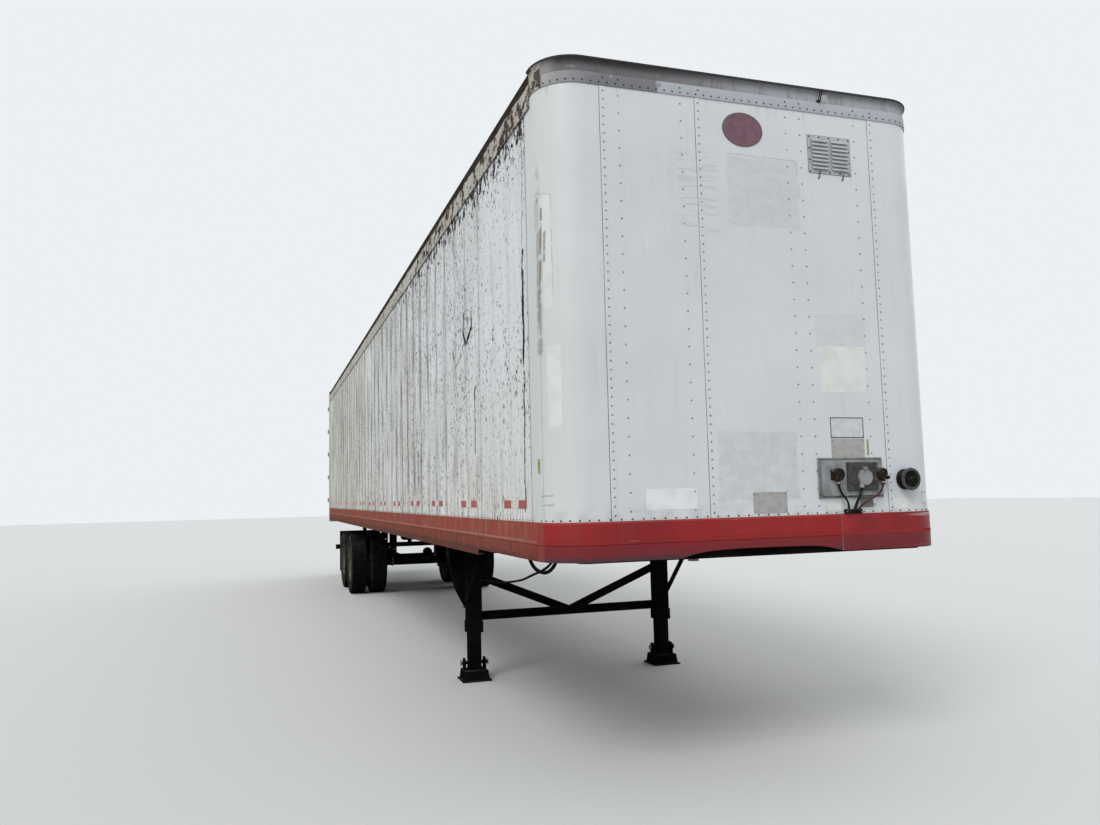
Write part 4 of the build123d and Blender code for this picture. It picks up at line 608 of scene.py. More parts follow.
def front_rail_metal(shade, finish):
    """Grey rail over the nose: a pale strip, a hollow with painted shade and dirt runs, and a black lip, darker at the
    curb corner.
    """
    place, across, height = shade.places(0, 2)
    broad = shade.effect("mottle", place, 3.0, 0.35, 0.68)
    runs = shade.effect("runs", place, 24.0, 6.0, 0.48, 0.16)
    blotch = shade.noise(place, (11, 11, 15), 5.0, 0.65)
    # Painted shade in the hollow: dark toward the top under the lip and toward the curb side, lighter toward the road
    # side; the runs in it are dirt
    hollow_shade = shade.lift(0.42, shade.step(across, -0.1, -0.9), 0.45)
    hollow = shade.coats((0.175, 0.165, 0.170), ((0.39, 0.40, 0.43), shade.step(across, -0.8, 0.4)),
                         ((0.055, 0.052, 0.052), shade.step(height, 4.040, 4.090), hollow_shade),
                         ((0.12, 0.11, 0.105), runs, 0.35))
    edge = shade.lift(across, blotch, 0.16)
    strip = shade.coats((0.45, 0.475, 0.505), ((0.38, 0.40, 0.42), broad, 0.6),
                        ((0.165, 0.163, 0.168), shade.step(edge, -0.475, -0.500), 0.85),
                        ((0.42, 0.42, 0.42), shade.step(edge, -0.85, -1.10), 0.45))
    flaked = shade.step(shade.noise(place, (13, 13, 15), 5.0, 0.7), 0.47, 0.51)
    peeling = shade.layer((0.45, 0.425, 0.36), (0.070, 0.050, 0.035), flaked, 0.94)
    colour = shade.coats(
        strip, (hollow, shade.step(height, 4.021, 4.025)),
        ((0.46, 0.46, 0.44), shade.step(blotch, 0.64, 0.68), shade.step(across, -0.3, -0.7), 0.45),
        ((0.47, 0.46, 0.44), shade.step(across, -1.17, -1.25), 0.5),
        (peeling, shade.step(shade.maths("ABSOLUTE", across), 1.252, 1.262)),
        ((0.045, 0.042, 0.040), shade.step(height, 4.091, 4.097), 0.93))
    shade.surface(colour, 0.7, height=broad, depth=0.002, gloss=0.05)


def deck_boards(shade, finish):
    """Laminated hardwood deck with tyre scuffs."""
    place, across = shade.places(0)
    board = shade.maths("FLOOR", shade.maths("DIVIDE", across, BOARD_WIDTH))
    tint = shade.add("ShaderNodeTexWhiteNoise", {"W": board}, noise_dimensions="1D").outputs["Value"]
    grain = shade.noise(place, (60, 2.5, 60), 4.0, 0.6)
    scuffs = shade.effect("mottle", shade.stretch(place, (3, 0.7, 1)), 1.4, 0.50, 0.72)
    colour = shade.coats((0.16, 0.085, 0.042), ((0.36, 0.22, 0.12), shade.lift(shade.times(tint, 0.5), grain, 0.5)),
                         (finish.grime, scuffs, 0.5))
    shade.surface(colour, 0.68, height=grain, depth=0.001)


def lining_ply(shade, finish):
    """Plywood lining inside the walls."""
    place = shade.place()
    rings = shade.waves(shade.stretch(place, (1, 0.25, 1)), "Z", 3.0, 9.0, 3.0)
    scuffs = shade.effect("mottle", place, 2.0, 0.52, 0.74)
    colour = shade.coats((0.44, 0.30, 0.17), ((0.30, 0.18, 0.09), rings, 0.6), (finish.grime, scuffs, 0.45))
    shade.surface(colour, 0.7, height=rings, depth=0.0006)


def lamp_lens(shade, colour):
    """Moulded lens with fine ribs under its gloss."""
    ribs = shade.waves(shade.place(), "X", 60.0)
    shade.surface(shade.layer(colour, (0.05, 0.004, 0.004), ribs, 0.35), 0.18, height=ribs, depth=0.0006, coat=0.6)


# Plain finishes: base and second colour, roughness, metallic, mottle scale, wear colour and share,
# dust share, bump scale and depth
PLAIN = {
    # The chassis black is black paint made darker still, as painted shade for the shade under the trailer
    "chassis_black": ((0.0045, 0.0045, 0.005), (0.011, 0.0095, 0.008), 0.66, 0.0, 3.0, (0.05, 0.028, 0.017),
                      0.45, 0.18, 40.0, 0.0008),
    "door_zinc": ((0.4, 0.41, 0.42), (0.27, 0.28, 0.28), 0.42, 0.75, 9.0, (0.2, 0.1, 0.06), 0.3, 0.15, 60.0, 0.0004),
    "scuff_steel": ((0.36, 0.365, 0.37), (0.29, 0.29, 0.285), 0.5, 0.6, 2.2, (0.2, 0.13, 0.09),
                    0.1, 0.15, 30.0, 0.0004),
    "worn_steel": ((0.33, 0.31, 0.29), (0.17, 0.12, 0.09), 0.45, 0.8, 12.0, (0.16, 0.07, 0.035),
                   0.35, 0.15, 50.0, 0.0006),
    "roof_metal": ((0.58, 0.59, 0.59), (0.4, 0.39, 0.36), 0.45, 0.5, 1.5, None, 0.0, 0.45, 2.5, 0.004),
    "rear_paint": ((0.55, 0.56, 0.56), (0.42, 0.42, 0.4), 0.45, 0.35, 2.5, (0.2, 0.1, 0.05), 0.5, 0.25, 18.0, 0.0008),
    "wheel_enamel": ((0.22, 0.21, 0.185), (0.11, 0.095, 0.075), 0.66, 0.0, 9.0, (0.18, 0.08, 0.04),
                     0.5, 0.15, 30.0, 0.0006),
    # The tread is black rubber made darker still, as painted shade for the shade under the trailer
    "tyre_tread": ((0.0055, 0.0055, 0.006), (0.013, 0.012, 0.011), 0.9, 0.0, 12.0, (0.03, 0.028, 0.024),
                   0.5, 0.12, 120.0, 0.0006),
    "tyre_side": ((0.022, 0.021, 0.019), (0.06, 0.054, 0.044), 0.88, 0.0, 7.0, (0.09, 0.08, 0.066),
                  0.5, 0.3, 90.0, 0.0005),
    "flap_sheet": ((0.018, 0.018, 0.019), (0.05, 0.046, 0.04), 0.8, 0.0, 4.0, (0.06, 0.055, 0.05),
                   0.3, 0.2, 70.0, 0.0006),
    "gasket": ((0.014, 0.014, 0.015), (0.03, 0.029, 0.028), 0.75, 0.0, 8.0, (0.04, 0.04, 0.04),
               0.2, 0.2, 90.0, 0.0004),
    "box_plate": ((0.34, 0.35, 0.36), (0.22, 0.22, 0.215), 0.55, 0.1, 14.0, (0.1, 0.07, 0.05),
                  0.45, 0.25, 60.0, 0.0006),
    "box_dark": ((0.085, 0.083, 0.08), (0.045, 0.042, 0.038), 0.6, 0.0, 18.0, (0.14, 0.13, 0.12),
                 0.5, 0.4, 80.0, 0.0006),
    "socket_cover": ((0.24, 0.235, 0.225), (0.14, 0.135, 0.125), 0.5, 0.35, 26.0, (0.1, 0.07, 0.05),
                     0.4, 0.3, 70.0, 0.0006),
    "coupling_iron": ((0.01, 0.01, 0.01), (0.028, 0.023, 0.019), 0.66, 0.1, 22.0, (0.14, 0.09, 0.06),
                      0.6, 0.5, 90.0, 0.0008),
    "tube_plastic": ((0.01, 0.01, 0.009), (0.022, 0.021, 0.018), 0.6, 0.0, 20.0, (0.08, 0.08, 0.07),
                     0.4, 0.2, 60.0, 0.0005),
    "tube_lid": ((0.08, 0.083, 0.074), (0.045, 0.045, 0.04), 0.5, 0.0, 20.0, (0.14, 0.14, 0.13),
                 0.5, 0.3, 60.0, 0.0005),
    "vent_pale": ((0.52, 0.54, 0.56), (0.44, 0.45, 0.46), 0.5, 0.0, 10.0, (0.26, 0.24, 0.22), 0.4, 0.2, 50.0, 0.0005),
    "seam_paint": ((0.69, 0.72, 0.74), (0.58, 0.6, 0.6), 0.44, 0.0, 2.6, (0.34, 0.31, 0.27), 0.35, 0.1, 9.0, 0.0008),
    "rivet_dark": ((0.035, 0.033, 0.032), (0.08, 0.075, 0.07), 0.6, 0.0, 14.0, None, 0.0, 0.0, 60.0, 0.0003),
    "seam_dark": ((0.12, 0.115, 0.105), (0.34, 0.33, 0.31), 0.75, 0.0, 5.0, None, 0.0, 0.0, 30.0, 0.0005),
    "rivet_head": ((0.3, 0.31, 0.32), (0.15, 0.145, 0.14), 0.5, 0.3, 14.0, None, 0.0, 0.0, 60.0, 0.0003),
    "rivet_red": ((0.26, 0.05, 0.045), (0.14, 0.085, 0.075), 0.55, 0.1, 14.0, None, 0.0, 0.0, 60.0, 0.0003),
    "plate_grey": ((0.46, 0.45, 0.43), (0.38, 0.37, 0.35), 0.5, 0.25, 22.0, (0.26, 0.24, 0.22),
                   0.3, 0.1, 50.0, 0.0004),
    "plate_dark": ((0.16, 0.15, 0.14), (0.24, 0.22, 0.2), 0.55, 0.2, 30.0, (0.3, 0.28, 0.26), 0.3, 0.1, 60.0, 0.0004),
    "plate_maroon": ((0.225, 0.12, 0.15), (0.165, 0.095, 0.125), 0.52, 0.0, 16.0, (0.3, 0.25, 0.25),
                     0.4, 0.1, 40.0, 0.0005),
    "plate_rim": ((0.15, 0.085, 0.095), (0.2, 0.145, 0.14), 0.55, 0.1, 30.0, (0.3, 0.28, 0.26),
                  0.3, 0.1, 60.0, 0.0004),
    "sticker_white": ((0.84, 0.85, 0.86), (0.76, 0.76, 0.75), 0.42, 0.0, 12.0, None, 0.0, 0.05, 40.0, 0.0002),
    "sticker_grey": ((0.66, 0.68, 0.69), (0.58, 0.59, 0.59), 0.45, 0.0, 26.0, None, 0.0, 0.05, 40.0, 0.0002),
    "sticker_cream": ((0.79, 0.8, 0.77), (0.72, 0.72, 0.68), 0.5, 0.0, 9.0, None, 0.0, 0.1, 40.0, 0.0003),
    "sticker_border": ((0.03, 0.03, 0.032), (0.07, 0.07, 0.07), 0.5, 0.0, 20.0, None, 0.0, 0.0, 40.0, 0.0002),
    "marker_yellow": ((0.42, 0.42, 0.1), (0.28, 0.27, 0.08), 0.45, 0.0, 30.0, (0.3, 0.3, 0.2), 0.2, 0.1, 40.0, 0.0003),
    "tape_red": ((0.44, 0.05, 0.04), (0.36, 0.1, 0.08), 0.38, 0.0, 22.0, None, 0.0, 0.1, 60.0, 0.0002),
    "tape_white": ((0.74, 0.69, 0.62), (0.6, 0.55, 0.48), 0.38, 0.0, 22.0, None, 0.0, 0.1, 60.0, 0.0002),
    "black_hose": ((0.008, 0.009, 0.009), (0.024, 0.023, 0.02), 0.7, 0.0, 30.0, None, 0.0, 0.15, 120.0, 0.0004),
    "lead_green": ((0.014, 0.026, 0.021), (0.035, 0.043, 0.036), 0.66, 0.0, 30.0, None, 0.0, 0.2, 120.0, 0.0004),
    "lead_brown": ((0.13, 0.035, 0.028), (0.07, 0.028, 0.022), 0.6, 0.0, 34.0, None, 0.0, 0.3, 120.0, 0.0004),
}
PATTERNED = {build.__name__: build for build in (side_wall_paint, nose_wall_paint, door_paint, nose_band, band_fresh,
                                                 side_band, top_rail_metal, front_rail_metal, deck_boards,
                                                 lining_ply)}
LENSES = {"lens_red": (0.36, 0.012, 0.012)}
# From this roughness on a plain finish reflects nothing at a flat angle
MATT = 0.6


def plain_finish(shade, finish, row):
    """Two tones mottled together, worn at the edges, dusty on top and finely bumped."""
    base, second, roughness, metallic, scale, worn, wear, dust, grain, depth = row
    place = shade.place()
    clouds = shade.effect("mottle", place, scale, 0.38, 0.66)
    colour = shade.layer(base, second, clouds)
    if wear:
        colour = shade.layer(colour, worn, shade.effect("wear", place, 0.005), wear)
    colour = shade.layer(colour, finish.road_dust, shade.effect("dust", place, dust))
    shade.surface(colour, shade.lift(roughness, clouds, 0.12), metallic, shade.noise(place, grain), depth,
                  gloss=0.0 if roughness >= MATT else 0.15)


def material(name):
    """A finish by name, built the first time it is asked for; no name is one of the frame's own materials."""
    if name in bpy.data.materials:
        return bpy.data.materials[name]
    finish = bpy.context.scene.trailer_finish
    made = bpy.data.materials.new(name)
    made.use_nodes = True
    made.node_tree.nodes.clear()
    shade = Shade(made.node_tree)
    if name in PATTERNED:
        PATTERNED[name](shade, finish)
    elif name in LENSES:
        lamp_lens(shade, LENSES[name])
    else:
        plain_finish(shade, finish, PLAIN[name])
    return made


# Mesh building


def facing(point, direction, spin=0.0):
    """A place whose Z axis points along a direction."""
    turn = Vector(direction).to_track_quat("Z", "Y").to_matrix().to_4x4()
    return Matrix.Translation(point) @ turn @ Matrix.Rotation(spin, 4, "Z")


def spun(angle, *move):
    """A place turned about Z and then moved."""
    return Matrix.Rotation(angle, 4, "Z") @ Matrix.Translation(move)


def ring(count, radius, height, start=0.0):
    """Places round Z, their angle counted in steps from start."""
    return [spun(2 * math.pi * (i + start) / count, radius, 0, height) for i in range(count)]


def rounded(shape, edges, offset, segments=2):
    """Round some edges of a shape."""
    bmesh.ops.bevel(shape, geom=edges, offset=offset, offset_type="OFFSET", segments=segments, profile=0.5,
                    affect="EDGES", material=-1)


def grown(result, kind):
    """The vertices or faces that an operator made."""
    return [item for item in result if isinstance(item, kind)]


def block(start, end, bevel=0.0, segments=2):
    """A box between two opposite corners, with rounded edges."""
    low, high = Vector(tuple(map(min, start, end))), Vector(tuple(map(max, start, end)))
    shape = bmesh.new()
    place = Matrix.Translation((low + high) / 2) @ Matrix.Diagonal((*(high - low), 1.0))
    bmesh.ops.create_cube(shape, size=1.0, matrix=place)
    if bevel:
        rounded(shape, shape.edges[:], bevel, segments)
    return shape


def rod(radius, length, sides=16, bevel=0.0, tip=None):
    """A round bar up Z from the origin, with an optional narrower tip."""
    shape = bmesh.new()
    bmesh.ops.create_cone(shape, cap_ends=True, segments=sides, radius1=radius,
                          radius2=radius if tip is None else tip, depth=length,
                          matrix=Matrix.Translation((0, 0, length / 2)))
    if bevel:
        rounded(shape, [edge for edge in shape.edges if abs(edge.verts[0].co.z - edge.verts[1].co.z) < 1e-6], bevel)
    return shape


def turned(profile, steps=32, closed=False):
    """A profile of (radius, height) turned about Z."""
    shape = bmesh.new()
    points = [shape.verts.new((radius, 0.0, height)) for radius, height in profile]
    pairs = list(zip(points, points[1:])) + ([(points[-1], points[0])] if closed else [])
    line = [shape.edges.new(pair) for pair in pairs]
    bmesh.ops.spin(shape, geom=points + line, axis=(0, 0, 1), cent=(0, 0, 0), angle=2 * math.pi, steps=steps,
                   use_merge=True)
    bmesh.ops.remove_doubles(shape, verts=shape.verts[:], dist=1e-6)
    bmesh.ops.recalc_face_normals(shape, faces=shape.faces[:])
    return shape


def swept(outline, moves):
    """An outline in X and Y carried up Z: runs of (length, turn, bend radius), each turning about its X axis."""
    shape = bmesh.new()
    tip = [shape.faces.new([shape.verts.new((x, y, 0.0)) for x, y in outline])]
    heading = Matrix()
    for i, (length, turn, bend) in enumerate(moves):
        run = bmesh.ops.extrude_face_region(shape, geom=tip)["geom"]
        bmesh.ops.translate(shape, verts=grown(run, bmesh.types.BMVert), vec=heading.to_3x3() @ Vector((0, 0, length)))
        heading = heading @ Matrix.Translation((0, 0, length))
        if i:
            bmesh.ops.delete(shape, geom=tip, context="FACES_ONLY")
        tip = grown(run, bmesh.types.BMFace)
        if turn:
            centre = heading @ Vector((0, math.copysign(bend, -turn), 0))
            axis = heading.to_3x3() @ Vector((1, 0, 0))
            arc = bmesh.ops.spin(shape, geom=tip, cent=centre, axis=axis, angle=turn,
                                 steps=max(4, round(abs(turn) * 9)))["geom_last"]
            bmesh.ops.delete(shape, geom=tip, context="FACES_ONLY")
            tip = grown(arc, bmesh.types.BMFace)
            bent = Matrix.Rotation(turn, 4, axis)
            heading = Matrix.Translation(centre) @ bent @ Matrix.Translation(-centre) @ heading
    bmesh.ops.recalc_face_normals(shape, faces=shape.faces[:])
    return shape


def bent_rod(radius, moves, sides=8):
    """A round rod up Z from the origin, bent as swept does."""
    angles = [2 * math.pi * i / sides for i in range(sides)]
    return swept([(radius * math.cos(angle), radius * math.sin(angle)) for angle in angles], moves)


def nose_point(angle, radius, height):
    """A point on the curb corner's arc, its angle measured from the side towards the nose."""
    return Vector((-CORNER_X - radius * math.cos(angle), CORNER_Y - radius * math.sin(angle), height))


def corner_sheet(start, end, low, high, proud, sign=-1, under=0.001):
    """A thin sheet round part of a nose corner, its angles in degrees from the side."""
    shape = bmesh.new()
    spots = [nose_point(math.radians(start), SHELL_RADIUS + depth, z)
             for depth, z in ((-under, low), (proud, low), (proud, high), (-under, high))]
    face = shape.faces.new([shape.verts.new(spot) for spot in spots])
    bmesh.ops.spin(shape, geom=[face], cent=(-CORNER_X, CORNER_Y, 0), axis=(0, 0, 1),
                   angle=math.radians(end - start), steps=max(1, round((end - start) / 4)))
    if sign > 0:
        bmesh.ops.scale(shape, vec=(-1, 1, 1), verts=shape.verts[:])
    bmesh.ops.recalc_face_normals(shape, faces=shape.faces[:])
    return shape


class Piece:
    """One piece's mesh, joined from small shapes, each with one of its finishes."""

    def __init__(self, name, *finishes, body="trailer"):
        self.name = name
        self.body = body
        self.finishes = finishes
        self.mesh = bmesh.new()

    def join(self, shape, places=(Matrix(),), finish=0):
        """Copy a small shape into the piece at each place, and let go of it."""
        if finish is not None:
            for face in shape.faces:
                face.material_index = finish
        carrier = bpy.data.meshes.new("carrier")
        for place in places:
            copy = shape.copy()
            copy.transform(place)
            copy.to_mesh(carrier)
            copy.free()
            self.mesh.from_mesh(carrier)
        shape.free()
        bpy.data.meshes.remove(carrier)

    def box(self, start, end, bevel=0.0, segments=2, finish=0):
        """A box between two opposite corners."""
        self.join(block(start, end, bevel, segments), finish=finish)

    def border(self, low, high, width, back, front, bevel=0.0, segments=2, finish=0):
        """Four strips inside a rectangle of X and Z, from back to front in Y."""
        for start, end in ((low, (high[0], low[1] + width)), ((low[0], high[1] - width), high),
                           (low, (low[0] + width, high[1])), ((high[0] - width, low[1]), high)):
            self.box((start[0], back, start[1]), (end[0], front, end[1]), bevel, segments, finish)

    def studs(self, spots, way, *size, finish=0, tip=None):
        """Rods of one size on some spots, all facing one way."""
        self.join(rod(*size, tip=tip), [facing(spot, way) for spot in spots], finish)

    def rivets(self, spots, way, finish=0):
        """Low rivet heads on some spots, all facing one way."""
        sizes = bpy.context.scene.trailer_sizes
        self.studs(spots, way, sizes.rivet_radius, sizes.rivet_height, 8, finish=finish,
                   tip=sizes.rivet_radius * RIVET_TIP)

    def corner_rivets(self, angles, radius, height):
        """Rivets round both corners of the nose, at some angles in degrees from the side."""
        for sign, angle in product((-1, 1), map(math.radians, angles)):
            spot = nose_point(angle, radius, height)
            self.rivets([(-sign * spot.x, spot.y, spot.z)], (sign * math.cos(angle), -math.sin(angle), 0))

    def finish(self, *replaces, smooth=30.0):
        """Make the object, let it ride on its body and hide the solids that it stands for."""
        mesh = bpy.data.meshes.new(self.name)
        self.mesh.to_mesh(mesh)
        self.mesh.free()
        for name in self.finishes:
            mesh.materials.append(material(name))
        mesh.shade_smooth()
        mesh.set_sharp_from_angle(angle=math.radians(smooth))
        made = bpy.data.objects.new(self.name, mesh)
        bpy.context.scene.collection.objects.link(made)
        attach(made, self.body)
        if replaces:
            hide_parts(*replaces)


def spread(start, end, pitch):
    """Even places from start to end, at about a pitch."""
    count = max(1, round((end - start) / pitch))
    return [start + (end - start) * i / count for i in range(count + 1)]


def inset(low, high, margin):
    """Two ends drawn in by a margin."""
    return low + margin, high - margin


def around(centre, reach):
    """The two places at a reach on either side of a centre."""
    return centre - reach, centre + reach


def pairs_of(marks):
    """Each mark with the one after it, numbered."""
    return enumerate(zip(marks, marks[1:]))


# One operator for each piece or group of like pieces


class TRAILER_OT_camera(bpy.types.Operator):
    """Place the camera where the photograph was taken from"""

    bl_idname = "trailer.camera"
    bl_label = "Camera"

    def execute(self, context):
        forward = Vector((math.sin(CAMERA_YAW) * math.cos(CAMERA_PITCH),
                          math.cos(CAMERA_YAW) * math.cos(CAMERA_PITCH), math.sin(CAMERA_PITCH)))
        level = Vector((math.cos(CAMERA_YAW), -math.sin(CAMERA_YAW), 0))
        upright = level.cross(forward)
        right = math.cos(CAMERA_ROLL) * level + math.sin(CAMERA_ROLL) * upright
        up = right.cross(forward)
        data = bpy.data.cameras.new("camera")
        data.sensor_width = SENSOR_WIDTH
        data.lens = SENSOR_WIDTH * FOCAL_PIXELS / IMAGE_WIDTH
        data.clip_end = 500
        camera = bpy.data.objects.new("camera", data)
        axes = Matrix((right, up, -forward)).transposed().to_4x4()
        camera.matrix_world = Matrix.Translation(CAMERA_PLACE) @ axes
        context.scene.collection.objects.link(camera)
        context.scene.camera = camera
        return {"FINISHED"}


class TRAILER_OT_cords(bpy.types.Operator):
    """Lay the three leads, the hose loop and the leg cable on their routes"""

    bl_idname = "trailer.cords"
    bl_label = "Leads, hose and cable"

    def execute(self, context):
        for name, diameter, length, stiffness, finish, lay, route in CORDS:
            curve = bpy.data.curves.new(name + "_curve", "CURVE")
            curve.dimensions = "3D"
            curve.bevel_depth = diameter / 2
            curve.bevel_resolution = 4
            curve.use_fill_caps = True
            spline = curve.splines.new("NURBS")
            spline.points.add(len(route) - 1)
            for point, spot in zip(spline.points, route):
                point.co = (*spot, 1.0)
            spline.order_u = 3
            spline.use_endpoint_u = True
            spline.resolution_u = 12
            curve.materials.append(material(finish))
            cord = bpy.data.objects.new(name + "_cord", curve)
            context.scene.collection.objects.link(cord)
            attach(cord, "trailer")
            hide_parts(name)
        return {"FINISHED"}


class TRAILER_OT_stage(bpy.types.Operator):
    """Lay the pale floor and light the trailer softly"""

    bl_idname = "trailer.stage"
    bl_label = "Floor and light"

    def execute(self, context):
        shape = bmesh.new()
        bmesh.ops.create_grid(shape, x_segments=8, y_segments=8, size=FLOOR_REACH)
        mesh = bpy.data.meshes.new("floor")
        shape.to_mesh(mesh)
        shape.free()
        floor = bpy.data.objects.new("floor", mesh)
        context.scene.collection.objects.link(floor)
        paint = bpy.data.materials.new("floor_paint")
        paint.use_nodes = True
        paint.node_tree.nodes.clear()
        shade = Shade(paint.node_tree)
        seen = shade.add("ShaderNodeLightPath").outputs["Is Camera Ray"]
        shade.surface(shade.layer((0.42, 0.42, 0.42), (0.66, 0.66, 0.65), seen), 0.9)
        mesh.materials.append(paint)

        world = bpy.data.worlds.new("studio")
        world.use_nodes = True
        world.node_tree.nodes.clear()
        sky = Shade(world.node_tree)
        path = sky.add("ShaderNodeLightPath").outputs
        shown = sky.maths("MAXIMUM", path["Is Camera Ray"],
                          sky.maths("MAXIMUM", path["Is Glossy Ray"], path["Is Transmission Ray"]))
        soft, pale = (sky.add("ShaderNodeBackground", {"Color": tone(colour), "Strength": strength}).outputs[0]
                      for colour, strength in (((0.93, 0.97, 1.0), 0.72), ((0.84, 0.87, 0.90), 1.0)))
        both = sky.add("ShaderNodeMixShader", {0: shown, 1: soft, 2: pale}).outputs[0]
        sky.add("ShaderNodeOutputWorld", {"Surface": both})
        context.scene.world = world

        for name, energy, angle, direction in SUNS:
            lamp = bpy.data.lights.new(name, "SUN")
            lamp.energy = energy
            lamp.angle = angle
            light = bpy.data.objects.new(name, lamp)
            light.rotation_mode = "QUATERNION"
            light.rotation_quaternion = Vector(direction).to_track_quat("Z", "Y")
            context.scene.collection.objects.link(light)
        context.scene.view_settings.view_transform = "Standard"
        return {"FINISHED"}


# Finishes of the solids that stay in view
NODE_FINISHES = {
    "chassis_black": ("cross_members", "upper_coupler", "leg_housings", "leg_tubes", "leg_braces", "leg_struts",
                      "crank_gear", "slide_rails", "bogie_frame", "air_tank", "leaf_springs", "equalizers",
                      "torque_arms", "axles", "underride_guard"),
    "side_wall_paint": ("side_walls",),
    "nose_wall_paint": ("front_wall",),
    "door_paint": ("door_panel_curb", "door_panel_road"),
    "nose_band": ("nose_rail",),
    "side_band": ("side_rails",),
    "top_rail_metal": ("top_rails",),
    "roof_metal": ("roof_sheet", "roof_bows"),
    "rear_paint": ("rear_frame",),
    "door_zinc": ("door_straps_curb", "door_straps_road", "lock_rods_curb", "lock_rods_road"),
    "worn_steel": ("kingpin", "crank_handle"),
    "deck_boards": ("floor_deck",),
    "wheel_enamel": ("wheel_front_curb", "wheel_front_road", "wheel_rear_curb", "wheel_rear_road"),
    "flap_sheet": ("mud_flaps",),
    "box_plate": ("connector_box",),
    "coupling_iron": ("gladhands", "lead_grommet"),
    "tube_plastic": ("document_tube",),
    "vent_pale": ("louvred_vent",),
    "lens_red": ("tail_lamps",),
}


class TRAILER_OT_frame_finish(bpy.types.Operator):
    """Give every solid that stays in view its finish"""

    bl_idname = "trailer.frame_finish"
    bl_label = "Finish of the solids"

    def execute(self, context):
        for finish, nodes in NODE_FINISHES.items():
            for node in nodes:
                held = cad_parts[node].data.materials
                held.clear()
                held.append(material(finish))
        return {"FINISHED"}


class TRAILER_OT_sheets(bpy.types.Operator):
    """Cover the seams of the nose and side sheets with their strips"""

    bl_idname = "trailer.sheets"
    bl_label = "Seam strips"

    def execute(self, context):
        sizes = context.scene.trailer_sizes
        half = sizes.strip_width / 2
        nose = Piece("nose_seams", "nose_wall_paint", "seam_dark")
        for seam in SEAMS:
            left, right = around(seam + STRIP_SHIFT, half)
            nose.box((left, NOSE_FACE - STRIP_PROUD, RAIL_TOP - LAP),
                     (right, NOSE_FACE + 0.001, FRONT_RAIL_LOW + LAP), 0.0006, 1)
            nose.box((left - 0.0035, NOSE_FACE - 0.0009, RAIL_TOP),
                     (left - 0.0002, NOSE_FACE + 0.001, FRONT_RAIL_LOW), 0.0004, 1, finish=1)
        nose.finish()
        for name, sign in BODY_SIDES:
            under, over = sign * SIDE_FACE, sign * (SIDE_FACE + STRIP_PROUD)
            side = Piece("side_seams_" + name, "side_wall_paint", "seam_dark")
            for y in side_seams(sizes):
                fore, aft = around(y, half)
                side.box((under, fore, RAIL_TOP - LAP), (over, aft, SIDE_RAIL_LOW + LAP), 0.0006, 1)
                side.box((under, fore - 0.004, RAIL_TOP), (over, fore - 0.0002, SIDE_RAIL_LOW), 0.0004, 1, finish=1)
            side.finish()
        return {"FINISHED"}


def side_places(spacing):
    """Places along a side wall at one spacing, from its first seam back."""
    return [WALLS[0].y + SEAM_START + i * spacing for i in range(int((WALLS[1].y - WALLS[0].y) / spacing) + 1)]


def side_seams(sizes):
    """Where one side sheet meets the next, from the nose back."""
    return side_places(sizes.sheet_width)


def side_posts(sizes):
    """Wall posts between the seams."""
    seams = side_seams(sizes)
    return [place for place in side_places(sizes.post_spacing)[1:] if min(abs(place - seam) for seam in seams) > 0.1]


def side_row(pitch):
    """Places of a row of rivets along a side."""
    return spread(WALLS[0].y, WALLS[1].y - 0.05, pitch)


def column(top, margin, pitch):
    """Heights of a column of rivets from the red band up to a rail."""
    return spread(*inset(RAIL_TOP, top, margin), pitch)


# Section of the rail over the nose: height, and distance out from the corner's centre
RAIL_SECTION = ((3.952, 0.2336), (3.952, 0.2375), (3.9535, 0.2390), (4.0205, 0.2390), (4.0225, 0.2375),
                (4.0240, 0.2350), (4.0550, 0.2338), (4.0800, 0.2352), (4.0900, 0.2400), (4.0940, 0.2470),
                (4.0970, 0.2500), (4.1030, 0.2510), (4.1080, 0.2495), (4.1112, 0.2460), (4.1112, 0.1750),
                (4.1030, 0.1750), (4.1030, 0.2336))
STRIP_FACE = 0.2390


class TRAILER_OT_nose_top_rail(bpy.types.Operator):
    """Bend the rail over the nose, with its strip, hollow and lip"""

    bl_idname = "trailer.nose_top_rail"
    bl_label = "Rail over the nose"

    def execute(self, context):
        lead = FRONT_RAIL[1].y - CORNER_Y
        outline = [(height, out - SHELL_RADIUS) for height, out in RAIL_SECTION]
        moves = ((lead, math.pi / 2, SHELL_RADIUS), (2 * CORNER_X, math.pi / 2, SHELL_RADIUS), (lead, 0, 0))
        start = Matrix(((0, -1, 0, -SIDE_FACE), (0, 0, -1, FRONT_RAIL[1].y), (1, 0, 0, 0), (0, 0, 0, 1)))
        rail = Piece("nose_top_rail", "front_rail_metal")
        rail.join(swept(outline, moves), [start])
        rail.finish("front_top_rail", smooth=40.0)
        return {"FINISHED"}


